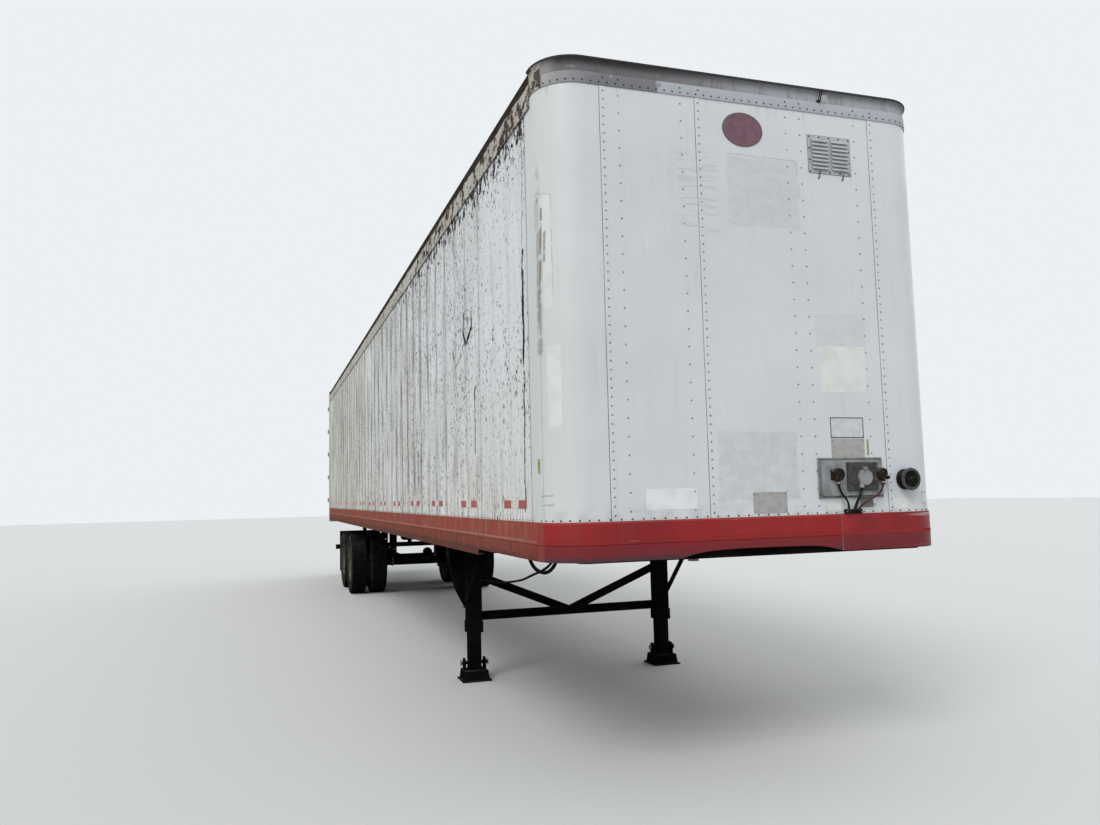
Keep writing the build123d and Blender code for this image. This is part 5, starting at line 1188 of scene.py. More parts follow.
class TRAILER_OT_rivets(bpy.types.Operator):
    """Set the rivets of the sheets, posts and rails"""

    bl_idname = "trailer.rivets"
    bl_label = "Rivets"

    def execute(self, context):
        sizes = context.scene.trailer_sizes
        seams = [seam + STRIP_ROW for seam in SEAMS]
        nose = Piece("nose_rivets", "rivet_head")
        nose.rivets(product(seams, [NOSE_FACE - STRIP_PROUD], column(FRONT_RAIL_LOW, 0.03, sizes.seam_pitch)), AHEAD)
        nose.rivets(product(NOSE_POSTS, [NOSE_FACE], column(FRONT_RAIL_LOW, 0.05, sizes.post_pitch)), AHEAD)
        nose.finish()
        rail = Piece("nose_rail_rivets", "rivet_dark")
        face = CORNER_Y - STRIP_FACE
        lower, upper = FRONT_RAIL_LOW + 0.018, FRONT_RAIL_LOW + 0.045
        rail.rivets(product(spread(-CORNER_X, CORNER_X, RAIL_PITCH), [face], [lower]), AHEAD)
        rail.rivets(product((*NOSE_POSTS, *seams), [face], [upper]), AHEAD)
        rail.corner_rivets(spread(12, 78, 12), STRIP_FACE, lower)
        rail.finish()
        row = RAIL_TOP + 0.009
        band = Piece("nose_band_rivets", "rivet_dark")
        band.rivets(product(spread(-1.02, 1.02, BAND_PITCH), [NOSE_FACE], [row]), AHEAD)
        band.corner_rivets(spread(6, 84, 12), SHELL_RADIUS, row)
        band.finish()
        for name, sign in BODY_SIDES:
            way = (sign, 0, 0)
            side = Piece("side_rivets_" + name, "seam_paint")
            side.rivets(product([sign * (SIDE_FACE + STRIP_PROUD)], side_seams(sizes),
                                column(SIDE_RAIL_LOW, 0.03, sizes.seam_pitch)), way)
            side.rivets(product([sign * SIDE_FACE], side_posts(sizes),
                                column(SIDE_RAIL_LOW, 0.05, sizes.post_pitch)), way)
            side.rivets(product([sign * TOP_RAILS[1].x], side_row(TOP_PITCH), [SIDE_RAIL_LOW + 0.016]), way)
            side.finish()
            rail = Piece("side_band_rivets_" + name, "rivet_dark", "rivet_red")
            rail.rivets(product([sign * SIDE_FACE], side_row(BAND_PITCH), [row]), way)
            rail.rivets(product([sign * (RAILS[1].x - 0.004)], side_row(LOWER_PITCH), [LOWER_ROW]), way, finish=1)
            rail.finish()
        return {"FINISHED"}


# Thin plates on the nose: name, finish, X and Z of the low and high corners, thickness and corner screws
NOSE_PLATES = (
    ("notice_plate", "sticker_grey", (0.483, 1.930), (0.718, 2.054), 0.0010, False),
    ("notice_frame", "plate_grey", (0.483, 1.802), (0.718, 1.925), 0.0016, True),
    ("number_sticker", "sticker_white", (-0.737, 1.533), (-0.422, 1.648), 0.0005, False),
    ("data_plate", "plate_grey", (-0.065, 1.494), (0.160, 1.616), 0.0020, True),
    ("small_plate", "plate_dark", (0.668, 1.512), (0.760, 1.584), 0.0018, True),
    ("height_panel", "sticker_cream", (0.435, 2.206), (0.757, 2.488), 0.0005, False),
    ("pale_patch", "sticker_cream", (0.440, 1.500), (0.530, 1.566), 0.0004, False),
    ("side_patch", "sticker_cream", (0.900, 1.500), (1.010, 1.560), 0.0004, False),
)
# How far a plate's screws stand in from its edges
SCREW_INSET = 0.010
# The oval plate: its middle, half its width and height, and where its screws are
OVAL_PLACE = Vector((-0.026, NOSE_FACE, 3.789))
OVAL_HALF = (0.137, 0.106)
OVAL_SCREWS = ((-0.116, 0), (0.116, 0), (0, 0.088), (0, -0.088))

# Sheets on the nose corners: first and last degree from the side, low and high edge, how proud, side and finish
CORNER_BRACKETS = (
    (8.0, 34.0, 1.575, 1.583, 0.004, -1, 0), (8.0, 34.0, 1.625, 1.633, 0.004, -1, 0),
    (8.0, 10.0, 1.575, 1.633, 0.004, -1, 0), (2.0, 5.0, 1.75, 1.83, 0.008, -1, 1),
    (55.0, 70.0, 1.525, 1.531, 0.003, 1, 0), (55.0, 70.0, 1.592, 1.598, 0.003, 1, 0),
    (68.5, 70.0, 1.525, 1.598, 0.003, 1, 0),
)
# The vent: how far its rivets stand in, and the width of the dark line round it
VENT_INSET = 0.010
VENT_EDGE = 0.003


class TRAILER_OT_nose_plates(bpy.types.Operator):
    """Fix the blank plates, stickers and small brackets on the nose"""

    bl_idname = "trailer.nose_plates"
    bl_label = "Nose plates"

    def execute(self, context):
        for name, finish, low, high, thickness, screwed in NOSE_PLATES:
            front = NOSE_FACE - thickness
            plate = Piece(name, finish, "rivet_head", "sticker_border")
            plate.box((low[0], front, low[1]), (high[0], NOSE_FACE + 0.001, high[1]), thickness * 0.3, 1)
            if screwed:
                across, upright = (inset(low[i], high[i], SCREW_INSET) for i in (0, 1))
                plate.studs(product(across, [front], upright), AHEAD, 0.0042, 0.0018, 8, finish=1, tip=0.0026)
            if name == "notice_plate":
                plate.border(low, high, 0.005, front + 0.0002, front - 0.0006, finish=2)
            plate.finish()

        badge = Piece("oval_plate", "plate_maroon", "plate_rim", "rivet_head")
        oval = facing(OVAL_PLACE, AHEAD) @ Matrix.Diagonal((*OVAL_HALF, 1.0, 1.0))
        badge.join(turned(((0.0, 0.0030), (0.90, 0.0030)), 48), [oval])
        badge.join(turned(((0.90, 0.0020), (0.905, 0.0046), (0.985, 0.0046), (1.0, 0.0030), (1.0, -0.001)), 48),
                   [oval], finish=1)
        badge.studs([OVAL_PLACE + Vector((x, -0.0030, z)) for x, z in OVAL_SCREWS], AHEAD, 0.0045, 0.0022, 8,
                    finish=2, tip=0.0028)
        badge.finish()

        strip = Piece("corner_strip", "sticker_cream")
        strip.join(corner_sheet(28.5, 51.0, 1.998, 2.454, 0.0007))
        strip.finish()
        guard = Piece("corner_seam", "nose_wall_paint", "seam_dark")
        guard.join(corner_sheet(15.0, 17.5, RAIL_TOP, 2.72, 0.0012))
        # The dark strip beside it is the sheet's edge and its painted shadow
        guard.join(corner_sheet(14.2, 15.0, RAIL_TOP, 2.72, 0.0008), finish=1)
        guard.finish()

        bracket = Piece("lamp_brackets", "seam_paint", "marker_yellow", "seam_dark")
        for *sheet, finish in CORNER_BRACKETS:
            bracket.join(corner_sheet(*sheet), finish=finish)
        bracket.box((0.737, NOSE_FACE - 0.003, 1.826), (0.749, NOSE_FACE, 1.922), 0.001, 1, finish=1)
        bracket.finish()

        patch = Piece("band_patch", "band_fresh", "seam_dark")
        low, high = NOSE_RAIL[0].z + 0.002, RAIL_TOP - 0.004
        face = NOSE_RAIL[0].y + 0.004
        patch.box((0.527, face - 0.0025, low), (CORNER_X + 0.001, face + 0.001, high), 0.0008, 1)
        patch.join(corner_sheet(0.0, 90.0, low, high, 0.0105, 1, -0.007))
        # A dark line at the patch's left end: its joint, and the painted shadow of its proud edge
        patch.box((0.522, face - 0.0008, low), (0.5268, face + 0.001, high), 0.0003, 1, finish=1)
        patch.finish()

        stub = Piece("lamp_stub", "gasket", "plate_grey")
        for x, low, high in ((0.512, 4.030, 4.074), (0.524, 4.026, 4.080)):
            stub.join(bent_rod(0.0035, ((0.012, 1.1, 0.008), (high - low, 0.5, 0.012), (0.006, 0, 0))),
                      [facing((x, NOSE_FACE, low), AHEAD, math.pi)])
        stub.box((0.506, NOSE_FACE - 0.010, 4.026), (0.532, NOSE_FACE + 0.001, 4.036), 0.002)
        stub.box((0.545, NOSE_FACE - 0.003, 4.028), (0.590, NOSE_FACE + 0.001, 4.080), 0.001, finish=1)
        stub.finish()

        vent = Piece("vent_fixings", "rivet_dark", "seam_dark")
        low, high = VENT
        across, upright = inset(low.x, high.x, VENT_INSET), inset(low.z, high.z, VENT_INSET)
        face = NOSE_FACE - 0.003
        spots = [*product(spread(*across, 0.072), [face], upright),
                 *product(across, [face], spread(*upright, 0.075)[1:-1])]
        vent.studs(spots, AHEAD, 0.0062, 0.003, 8, tip=0.0035)
        for x in (low.x + 0.075, high.x - 0.060):
            vent.join(bent_rod(0.003, ((0.020, 0.7, 0.008), (0.016, 0, 0))),
                      [facing((x, NOSE_FACE - 0.004, low.z + 0.004), DOWN, math.pi / 2)])
        for x in (low.x - VENT_EDGE, high.x):
            vent.box((x, NOSE_FACE - 0.0015, low.z), (x + VENT_EDGE, NOSE_FACE, high.z), 0.0006, 1, finish=1)
        for z in (low.z - VENT_EDGE, high.z):
            vent.box((low.x, NOSE_FACE - 0.0015, z), (high.x, NOSE_FACE, z + VENT_EDGE), 0.0006, 1, finish=1)
        vent.finish()
        return {"FINISHED"}


# Reflective tape along a side: front end and height of each piece, from the nose back
SIDE_TAPES = ((-7.585, 1.578), (-6.315, 1.579), (-5.067, 1.583), (-3.890, 1.583), (-2.620, 1.580), (-1.420, 1.582),
              (-0.200, 1.580), (1.020, 1.580), (2.170, 1.584), (3.490, 1.584), (4.800, 1.584), (6.100, 1.584),
              (7.300, 1.584))
# Length of one block of tape, and the low and high edge of the tape on the rear guard with its margin at the ends
TAPE_BLOCK = 0.168
GUARD_TAPE = (0.585, 0.635)
GUARD_MARGIN = 0.02


class TRAILER_OT_tapes(bpy.types.Operator):
    """Stick the red and white reflective tape on the sides and the rear"""

    bl_idname = "trailer.tapes"
    bl_label = "Reflective tape"

    def execute(self, context):
        half = context.scene.trailer_sizes.tape_height / 2
        for name, sign in BODY_SIDES:
            tape = Piece("side_tape_" + name, "tape_red", "tape_white")
            for start, level in SIDE_TAPES:
                for i, (left, right) in pairs_of(spread(start, start + 3 * TAPE_BLOCK, TAPE_BLOCK)):
                    tape.box((sign * (SIDE_FACE - 0.0005), left, level - half),
                             (sign * (SIDE_FACE + 0.0020), right, level + half), 0.0003, 1, finish=i % 2)
            tape.finish()
        rear = Piece("rear_tape", "tape_red", "tape_white")
        face = GUARD[1].y
        low, high = GUARD_TAPE
        for i, (left, right) in pairs_of(spread(*inset(GUARD[0].x, GUARD[1].x, GUARD_MARGIN), TAPE_BLOCK)):
            rear.box((left, face - 0.0005, low), (right, face + 0.0010, high), 0.0003, 1, finish=i % 2)
        rear.finish()
        return {"FINISHED"}


# The connector box's plate and its couplings, then half sections turned about their middles: radius and height
PLATE_LOW, PLATE_HIGH, PLATE_INSET = 1.570, 1.810, 0.016
COUPLING_LEVEL = 1.708
SOCKET_COVER = ((0.0, 0.004), (0.030, 0.004), (0.034, 0.001), (0.044, 0.001), (0.050, -0.004), (0.052, -0.016),
                (0.048, -0.028))
GLADHAND_BOSS = ((0.0, 0.030), (0.010, 0.030), (0.014, 0.024), (0.026, 0.024), (0.030, 0.027), (0.034, 0.024),
                 (0.036, 0.010), (0.036, 0.0))
GLADHAND_SEAL = ((0.012, 0.0255), (0.016, 0.0275), (0.022, 0.0275), (0.025, 0.0245))
TUBE_LID = ((0.0, 0.001), (0.010, 0.001), (0.013, -0.001), (0.050, -0.001), (0.054, 0.002), (0.064, 0.002),
            (0.0675, -0.001), (0.0675, -0.010))


class TRAILER_OT_connector(bpy.types.Operator):
    """Detail the connector box, its couplings, socket cover and the document tube"""

    bl_idname = "trailer.connector"
    bl_label = "Connector box"

    def execute(self, context):
        face = NOSE_FACE - 0.026
        low, high = BOX
        box = Piece("connector_details", "box_plate", "box_dark", "rivet_head", "socket_cover")
        box.border((low.x, PLATE_LOW), (high.x, PLATE_HIGH), 0.006, NOSE_FACE, NOSE_FACE - 0.010, 0.0015)
        across, upright = inset(low.x, high.x, PLATE_INSET), inset(PLATE_LOW, PLATE_HIGH, PLATE_INSET)
        box.studs(product(across, [NOSE_FACE - 0.004], upright), AHEAD, 0.007, 0.004, 6, finish=2)
        box.box((0.560, face - 0.016, 1.612), (0.775, face + 0.001, 1.782), 0.005, 3, finish=1)
        x, y, z = SOCKET_PLACE
        box.join(turned(SOCKET_COVER, 40), [facing((x, y + 0.006, z), AHEAD)], finish=3)
        box.box((x - 0.016, y - 0.004, z + 0.040), (x + 0.016, y + 0.030, z + 0.062), 0.003, finish=3)
        box.studs([(x - 0.021, y + 0.004, z + 0.054)], (1, 0, 0), 0.005, 0.042, 10, 0.001, finish=2)
        box.studs([(x + 0.036 * math.cos(angle), y + 0.005, z + 0.036 * math.sin(angle))
                   for angle in (0.6, 2.5, 3.8, 5.6)], AHEAD, 0.0035, 0.003, 8, finish=2)
        box.finish()

        hands = Piece("gladhand_castings", "coupling_iron", "gasket", "rivet_head")
        for x, sign in zip(GLADHAND_PLACES, (-1, 1)):
            boss = [facing((x - sign * 0.006, face - 0.006, COUPLING_LEVEL + 0.004), AHEAD)]
            hands.box((x - 0.042, face - 0.012, COUPLING_LEVEL - 0.032), (x + 0.042, face, COUPLING_LEVEL + 0.032),
                      0.006, 3)
            hands.join(turned(GLADHAND_BOSS), boss)
            hands.join(turned(GLADHAND_SEAL), boss, finish=1)
            hands.box((x + sign * 0.010 - 0.012, face - 0.034, COUPLING_LEVEL - 0.030),
                      (x + sign * 0.030 + 0.012, face - 0.010, COUPLING_LEVEL - 0.010), 0.005, 3)
            hands.studs([(x, LEAD_FACE, 1.646)], UP, 0.013, 0.030, 6, 0.001)
            hands.studs([(x, LEAD_FACE, 1.654)], UP, 0.015, 0.010, 6, 0.001, finish=2)
            hands.studs(product(around(x, 0.032), [face - 0.012], [COUPLING_LEVEL + 0.024]), AHEAD,
                        0.005, 0.004, 6, finish=2)
        hands.finish("gladhands")

        tube = Piece("document_tube_lid", "tube_lid", "tube_plastic", "rivet_head")
        lid = facing(DOCUMENT_TUBE, AHEAD)
        tube.join(turned(TUBE_LID, 48), [lid])
        tube.join(block((-0.030, -0.007, -0.002), (0.030, 0.007, 0.007), 0.0025, 3),
                  [lid @ Matrix.Rotation(0.5, 4, "Z")], finish=1)
        tube.join(block((-0.002, -0.006, -0.004), (0.003, 0.006, 0.004), 0.001, 1),
                  [lid @ place for place in ring(12, 0.0665, -0.006)])
        tube.finish()

        hood = Piece("grommet_hood", "coupling_iron", "rivet_head")
        front = NOSE_FACE - 0.024
        hood.box((0.545, front, RAIL_TOP + 0.0005), (0.665, NOSE_FACE, RAIL_TOP + 0.027), 0.005, 3)
        hood.studs([(x, front, RAIL_TOP + 0.012) for x in (0.553, 0.657)], AHEAD, 0.004, 0.002, 8, finish=1)
        hood.finish("lead_grommet")
        return {"FINISHED"}


# Landing gear: a leg's place and half width, the shaft's height, the heights of the bolts, and the struts' bolts from
# the legs' middle and up; then the crank's grip as a turned section
LEG_PLACE = 0.925
LEG_HALF = 0.0635
SHAFT_LEVEL = 1.128
LEG_BOLTS = (0.62, 0.69, 1.06, 1.20)
WING_BOLTS = (0.70, 0.86, 1.02, 1.18)
STRUT_BOLTS = ((0.030, 0.645), (-0.030, 0.705), (-0.560, 1.196))
CRANK_GRIP = ((0.011, 0.0), (0.016, 0.004), (0.017, 0.060), (0.016, 0.116), (0.011, 0.120))


class TRAILER_OT_landing_gear(bpy.types.Operator):
    """Bolt up the landing legs and their crank"""

    bl_idname = "trailer.landing_gear"
    bl_label = "Landing gear bolts"

    def execute(self, context):
        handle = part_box("crank_handle")
        y = middle("leg_tubes").y
        back = y + LEG_HALF
        gear = Piece("leg_bolts", "chassis_black", "worn_steel")
        for sign in (-1, 1):
            x = sign * LEG_PLACE
            gear.studs(product(around(x, 0.038), [y - LEG_HALF], LEG_BOLTS), AHEAD, 0.011, 0.010, 6)
            gear.studs(product(around(x, 0.125), around(y, 0.155), [1.242]), DOWN, 0.012, 0.010, 6)
            for side in (-1, 1):
                gear.studs([(x + side * 0.118, y, 0.152)], (side, 0, 0), 0.024, 0.008, 6, finish=1)
            gear.studs([(sign * 1.0005, y + dy, z) for dy, z in STRUT_BOLTS], (sign, 0, 0), 0.012, 0.010, 6)
        gear.studs(product((-0.900, -0.955), [back + 0.010], WING_BOLTS), AFT, 0.012, 0.012, 6)
        gear.studs(product([0.7655], around(y, 0.040), around(SHAFT_LEVEL, 0.072)), (-1, 0, 0), 0.009, 0.008, 6)
        gear.studs([(0.988, y, SHAFT_LEVEL)], (1, 0, 0), 0.022, 0.020, 12, 0.002)
        grip = facing((handle[1].x - 0.012, handle[0].y + 0.011, SHAFT_LEVEL), (-1, 0, 0))
        gear.join(turned(CRANK_GRIP, 16), [grip], finish=1)
        gear.finish()

        rim = Piece("wing_rim", "chassis_black")
        edge = [(1.125, 1.248), (1.125, 1.150), (1.125, 1.040)]
        edge += [(1.124 - 0.1355 * share**1.75, 1.040 - 0.395 * share) for share in spread(0.1, 1.0, 0.1)]
        lip = bmesh.new()
        strip = [lip.verts.new((-x, back + 0.009, z)) for x, z in edge]
        line = [lip.edges.new(pair) for pair in zip(strip, strip[1:])]
        moved = grown(bmesh.ops.extrude_edge_only(lip, edges=line)["geom"], bmesh.types.BMVert)
        bmesh.ops.translate(lip, verts=moved, vec=(-0.006, 0.034, 0))
        bmesh.ops.solidify(lip, geom=lip.faces[:], thickness=0.008)
        bmesh.ops.recalc_face_normals(lip, faces=lip.faces[:])
        rim.join(lip)
        rim.finish()
        return {"FINISHED"}


# Half of a tyre's section: distance from its middle and radius, from the bore to the shoulder
TYRE_SIDE = (
    (0.108, 0.284), (0.114, 0.286), (0.118, 0.294), (0.1195, 0.306), (0.1235, 0.309), (0.1265, 0.325),
    (0.1295, 0.328), (0.1325, 0.350), (0.1365, 0.380), (0.1392, 0.408), (0.1400, 0.420), (0.1398, 0.436),
    (0.1376, 0.4385), (0.1370, 0.455), (0.1345, 0.474), (0.1325, 0.476), (0.1310, 0.490), (0.1285, 0.500),
    (0.1270, 0.5030), (0.1235, 0.5055), (0.1205, 0.5120), (0.1160, 0.5175), (0.1100, 0.5195),
)
# The tread's radius, the middles of a pair, where the grooves start, where the shoulder slots are and where the tread
# meets the side
TYRE_CROWN = 0.520
TYRE_MIDDLES = (0.790, 1.130)
GROOVES = (0.0790, 0.0285)
SLOT_RADIUS = 0.505
SLOT_BAND = (0.110, 0.1215)
TREAD_START = 0.5035


def tyre_profile(depth):
    """A tyre's whole section as radius and distance from its middle, with grooves of a depth."""
    half = list(TYRE_SIDE)
    for start in GROOVES:
        half += [(start, TYRE_CROWN - 0.0005), (start - 0.0015, TYRE_CROWN - depth),
                 (start - 0.0085, TYRE_CROWN - depth), (start - 0.0100, TYRE_CROWN)]
    return [(radius, offset) for offset, radius in half] + [(radius, -offset) for offset, radius in half[::-1]]


class TRAILER_OT_tyres(bpy.types.Operator):
    """Mould the eight tyres with their grooves, shoulder slots and sidewall rings"""

    bl_idname = "trailer.tyres"
    bl_label = "Tyres"

    def mould(self, sizes):
        """One tyre about Z, with its tread's finish and every other shoulder slot sunk."""
        tyre = turned(tyre_profile(sizes.groove_depth), sizes.tread_steps, closed=True)
        slots = []
        for face in tyre.faces:
            spot = face.calc_center_median()
            radius = math.hypot(spot.x, spot.y)
            turn = round(math.atan2(spot.y, spot.x) / (2 * math.pi) * sizes.tread_steps + 0.25)
            face.material_index = int(radius > TREAD_START)
            if SLOT_RADIUS < radius and SLOT_BAND[0] < abs(spot.z) < SLOT_BAND[1] and turn % 2:
                slots.append(face)
        bmesh.ops.inset_individual(tyre, faces=slots, thickness=0.0028, depth=-0.006)
        return tyre

    def execute(self, context):
        for (axle, hub), (name, sign) in product(AXLES.items(), BODY_SIDES):
            pair = Piece(f"tyre_pair_{axle}_{name}", "tyre_side", "tyre_tread", body=f"duals_{axle}_{name}")
            pair.join(self.mould(context.scene.trailer_sizes),
                      [Matrix.Translation((sign * x, hub.y, hub.z)) @ Matrix.Rotation(math.pi / 2, 4, "Y")
                       for x in TYRE_MIDDLES], finish=None)
            pair.finish(f"tyres_{axle}_{name}", smooth=38.0)
        return {"FINISHED"}


# Wheel studs: radius, length, sides and bevel of the washer, the nut and the stud's end; then the hub seal as a turned
# section and the places of the two rims' edges
WHEEL_STUD = ((0.020, 0.006, 16), (0.0185, 0.028, 6, 0.002), (0.011, 0.042, 10, 0.001))
HUB_SEAL = ((0.040, 1.128), (0.046, 1.133), (0.054, 1.133), (0.058, 1.128))
RIM_EDGES = (1.245, 0.675)


class TRAILER_OT_wheels(bpy.types.Operator):
    """Fit the wheel nuts, hub bolts, rim lips and valve stems"""

    bl_idname = "trailer.wheels"
    bl_label = "Wheel fittings"

    def execute(self, context):
        for (axle, place), (name, sign) in product(AXLES.items(), BODY_SIDES):
            hub = Matrix.Translation((0, place.y, place.z)) @ Matrix.Rotation(sign * math.pi / 2, 4, "Y")
            fit = Piece(f"wheel_fittings_{axle}_{name}", "wheel_enamel", "worn_steel", "tube_plastic",
                        body=f"duals_{axle}_{name}")
            nuts = [hub @ turn for turn in ring(10, 0.1429, 0.970, 0.5)]
            for part in WHEEL_STUD:
                fit.join(rod(*part), nuts, finish=1)
            fit.join(rod(0.0085, 0.008, 6), [hub @ turn for turn in ring(8, 0.082, 1.069)], finish=1)
            fit.join(turned(HUB_SEAL), [hub], finish=2)
            for edge in RIM_EDGES:
                fit.join(turned(((0.272, edge - 0.002), (0.277, edge + 0.004), (0.289, edge + 0.004),
                                 (0.291, edge - 0.004)), 64), [hub])
            stem = hub @ spun(0.31, 0.262, 0, 1.080) @ Matrix.Rotation(-0.25, 4, "Y")
            fit.join(rod(0.004, 0.075, 8, tip=0.003), [stem], finish=1)
            fit.finish()
        return {"FINISHED"}


# The springs' place and their clamps, then a brake chamber's band and end as turned sections
SPRING_PLACE = 0.559
CLAMP_HALF = 0.0725
CLAMP_TOP = 0.775
CHAMBER_BAND = ((0.082, 0.070), (0.089, 0.074), (0.089, 0.094), (0.082, 0.098))
CHAMBER_END = ((0.0, 0.182), (0.030, 0.180), (0.062, 0.172), (0.078, 0.160), (0.082, 0.150))


class TRAILER_OT_suspension(bpy.types.Operator):
    """Clamp the springs to the axles and dress the brake chambers, tank and flaps"""

    bl_idname = "trailer.suspension"
    bl_label = "Suspension fittings"

    def execute(self, context):
        clamps = Piece("spring_clamps", "chassis_black", "worn_steel", body="tandem")
        chambers = Piece("chamber_clamps", "door_zinc", "chassis_black", body="tandem")
        for axle, sign in product(AXLES.values(), (-1, 1)):
            x, y = sign * SPRING_PLACE, axle.y
            drop = CLAMP_TOP - axle.z
            clamps.box((x - 0.062, y - 0.085, 0.7385), (x + 0.062, y + 0.085, 0.754), 0.003)
            for side in around(x, 0.055):
                clamps.join(bent_rod(0.0085, ((drop, -math.pi, CLAMP_HALF), (drop, 0, 0)), 10),
                            [facing((side, y - CLAMP_HALF, CLAMP_TOP), DOWN)], finish=1)
                clamps.studs(product([side], around(y, CLAMP_HALF), [0.754]), UP, 0.016, 0.014, 6, 0.001, finish=1)
            chamber = facing((sign * 0.400, y + 0.150, axle.z + 0.0635), AFT)
            chambers.join(turned(CHAMBER_BAND), [chamber])
            chambers.join(block((-0.012, -0.100, 0.072), (0.012, -0.080, 0.096), 0.003), [chamber])
            chambers.join(turned(CHAMBER_END), [chamber], finish=1)
            chambers.join(rod(0.010, 0.012, 6),
                          [chamber @ Matrix.Translation((0.05 * math.cos(angle), 0.05 * math.sin(angle), 0.174))
                           for angle in (0.8, 2.4)])
        clamps.finish()
        chambers.finish()

        tank = Piece("tank_straps", "door_zinc", "worn_steel", body="tandem")
        low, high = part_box("air_tank")
        centre = middle("air_tank")
        radius = (high.z - low.z) / 2
        section = ((radius, -0.018), (radius + 0.003, -0.018), (radius + 0.003, 0.018), (radius, 0.018))
        tank.join(turned(section, 40, closed=True),
                  [facing((x, centre.y, centre.z), (1, 0, 0)) for x in (-0.20, 0.20)])
        tank.studs([(0.0, centre.y, low.z + 0.004)], DOWN, 0.014, 0.020, 6, 0.002, finish=1)
        tank.finish()

        flaps = Piece("flap_clamps", "door_zinc", "worn_steel", body="tandem")
        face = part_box("mud_flaps")[1].y
        for sign in (-1, 1):
            flaps.box((sign * 0.680, face - 0.001, 0.972), (sign * 1.260, face + 0.004, 1.004), 0.001, 1)
            flaps.studs([(sign * x, face + 0.004, 0.988) for x in spread(0.720, 1.220, 0.125)], AFT,
                        0.010, 0.008, 6, finish=1)
        flaps.finish()
        return {"FINISHED"}


# The rings round the lamps as turned sections, and the heights of the lock rods' guides
LAMP_RING = ((0.050, 0.0), (0.056, 0.002), (0.058, 0.008), (0.053, 0.011), (0.047, 0.009))
SMALL_RING = ((0.022, 0.0), (0.027, 0.002), (0.027, 0.007), (0.021, 0.009))
ROD_GUIDES = (1.4936, 2.951, 3.8834)


class TRAILER_OT_rear(bpy.types.Operator):
    """Dress the doors, hinges, lamps and bumpers at the rear"""

    bl_idname = "trailer.rear"
    bl_label = "Rear doors and lamps"

    def execute(self, context):
        low, high = DOOR
        face = high.y
        for name, sign in BODY_SIDES:
            trim = Piece("door_trim_" + name, "door_zinc", "gasket", "rivet_head", body="door_" + name)
            left, right = sorted((sign * low.x, sign * high.x))
            trim.border((left, low.z), (right, high.z), 0.022, face - 0.001, face + 0.003, 0.001, 1)
            trim.box((sign * (high.x - 0.004), face - 0.020, low.z), (sign * (high.x + 0.005), face - 0.008, high.z),
                     0.002, 1, finish=1)
            for level in HINGE_LEVELS:
                trim.studs(product([sign * x for x in (0.93, 1.04, 1.16)], [face + 0.008], around(level, 0.016)), AFT,
                           0.010, 0.006, 12, finish=2, tip=0.006)
            for x in ROD_PLACES:
                trim.studs(product(around(sign * x, 0.026), [face + 0.024], ROD_GUIDES), AFT,
                           0.008, 0.006, 6, finish=2)
            trim.finish()

        lamps = Piece("lamp_rings", "gasket", "rivet_head")
        face = REAR_FRAME[0].y + 0.110
        for section, steps, places, level in ((LAMP_RING, 40, (-1.170, -1.050, 1.050, 1.170), 1.282),
                                              (SMALL_RING, 28, (-0.170, 0, 0.170), REAR_FRAME[1].z - 0.060)):
            lamps.join(turned(section, steps), [facing((x, face, level), AFT) for x in places])
        lamps.finish()

        bumpers = Piece("dock_bumpers", "gasket", "rivet_head")
        for sign in (-1, 1):
            bumpers.box((sign * 0.70, face - 0.002, 1.190), (sign * 0.90, face + 0.026, 1.285), 0.006, 3)
            bumpers.studs([(sign * x, face + 0.026, 1.237) for x in (0.74, 0.86)], AFT, 0.009, 0.005, 6, finish=1)
        bumpers.finish()
        return {"FINISHED"}


# Length of a sheet of plywood
SHEET_LENGTH = 2.44


class TRAILER_OT_lining(bpy.types.Operator):
    """Line the load space with plywood and a steel scuff band"""

    bl_idname = "trailer.lining"
    bl_label = "Load space lining"

    def execute(self, context):
        lining = Piece("wall_lining", "lining_ply", "scuff_steel", "rivet_head")
        inside, floor = DECK[1].x, DECK[1].z
        marks = spread(WALLS[0].y + SEAM_START, WALLS[1].y - 0.06, SHEET_LENGTH)
        for sign in (-1, 1):
            for start, end in zip(marks, marks[1:]):
                start, end = inset(start, end, 0.001)
                lining.box((sign * (inside - 0.008), start, floor + 0.30), (sign * inside, end, 3.60), 0.001, 1)
            lining.box((sign * (inside - 0.010), marks[0], floor + 0.001), (sign * inside, marks[-1], floor + 0.305),
                       0.002, 1, finish=1)
        lining.finish()
        return {"FINISHED"}


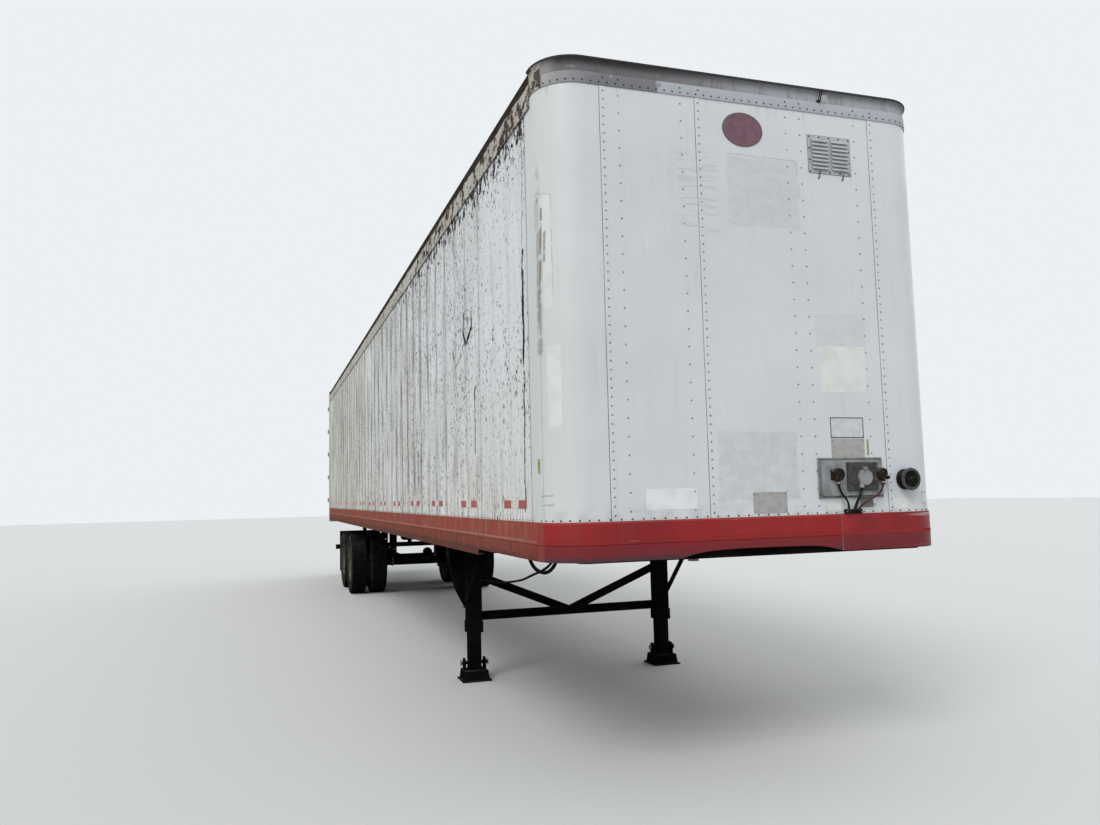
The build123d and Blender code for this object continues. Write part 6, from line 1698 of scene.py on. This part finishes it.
class TRAILER_OT_roof(bpy.types.Operator):
    """Fold the edges of the roof sheet"""

    bl_idname = "trailer.roof"
    bl_label = "Roof edges"

    def execute(self, context):
        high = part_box("roof_sheet")[1]
        edge = Piece("roof_edges", "top_rail_metal", "seam_dark")
        for sign in (-1, 1):
            edge.box((sign * (high.x - 0.030), CORNER_Y, high.z - 0.006),
                     (sign * (high.x + 0.004), high.y, high.z + 0.001), 0.0015, 1)
        edge.finish()
        return {"FINISHED"}


OPERATORS = (
    TRAILER_OT_camera, TRAILER_OT_cords, TRAILER_OT_stage, TRAILER_OT_frame_finish, TRAILER_OT_sheets,
    TRAILER_OT_nose_top_rail, TRAILER_OT_rivets, TRAILER_OT_nose_plates, TRAILER_OT_tapes, TRAILER_OT_connector,
    TRAILER_OT_landing_gear, TRAILER_OT_tyres, TRAILER_OT_wheels, TRAILER_OT_suspension, TRAILER_OT_rear,
    TRAILER_OT_lining, TRAILER_OT_roof,
)


class TRAILER_PT_pieces(bpy.types.Panel):
    """List the trailer's sizes, colours and pieces"""

    bl_label = "Trailer"
    bl_idname = "TRAILER_PT_pieces"
    bl_space_type = "VIEW_3D"
    bl_region_type = "UI"
    bl_category = "Trailer"

    def draw(self, context):
        layout = self.layout
        for group in (context.scene.trailer_sizes, context.scene.trailer_finish):
            for name in group.bl_rna.properties.keys():
                if name not in ("rna_type", "name"):
                    layout.prop(group, name)
        for operator in OPERATORS:
            layout.operator(operator.bl_idname)


CLASSES = (TrailerSizes, TrailerFinish, *OPERATORS, TRAILER_PT_pieces)


def register():
    """Register the classes and their settings."""
    for kind in CLASSES:
        bpy.utils.register_class(kind)
    bpy.types.Scene.trailer_sizes = PointerProperty(type=TrailerSizes)
    bpy.types.Scene.trailer_finish = PointerProperty(type=TrailerFinish)


def unregister():
    """Take the settings and classes away again."""
    del bpy.types.Scene.trailer_sizes
    del bpy.types.Scene.trailer_finish
    for kind in reversed(CLASSES):
        bpy.utils.unregister_class(kind)


def main():
    """Make every piece in order."""
    register()
    for operator in OPERATORS:
        group, name = operator.bl_idname.split(".")
        getattr(getattr(bpy.ops, group), name)()


if __name__ == "__main__":
    main()
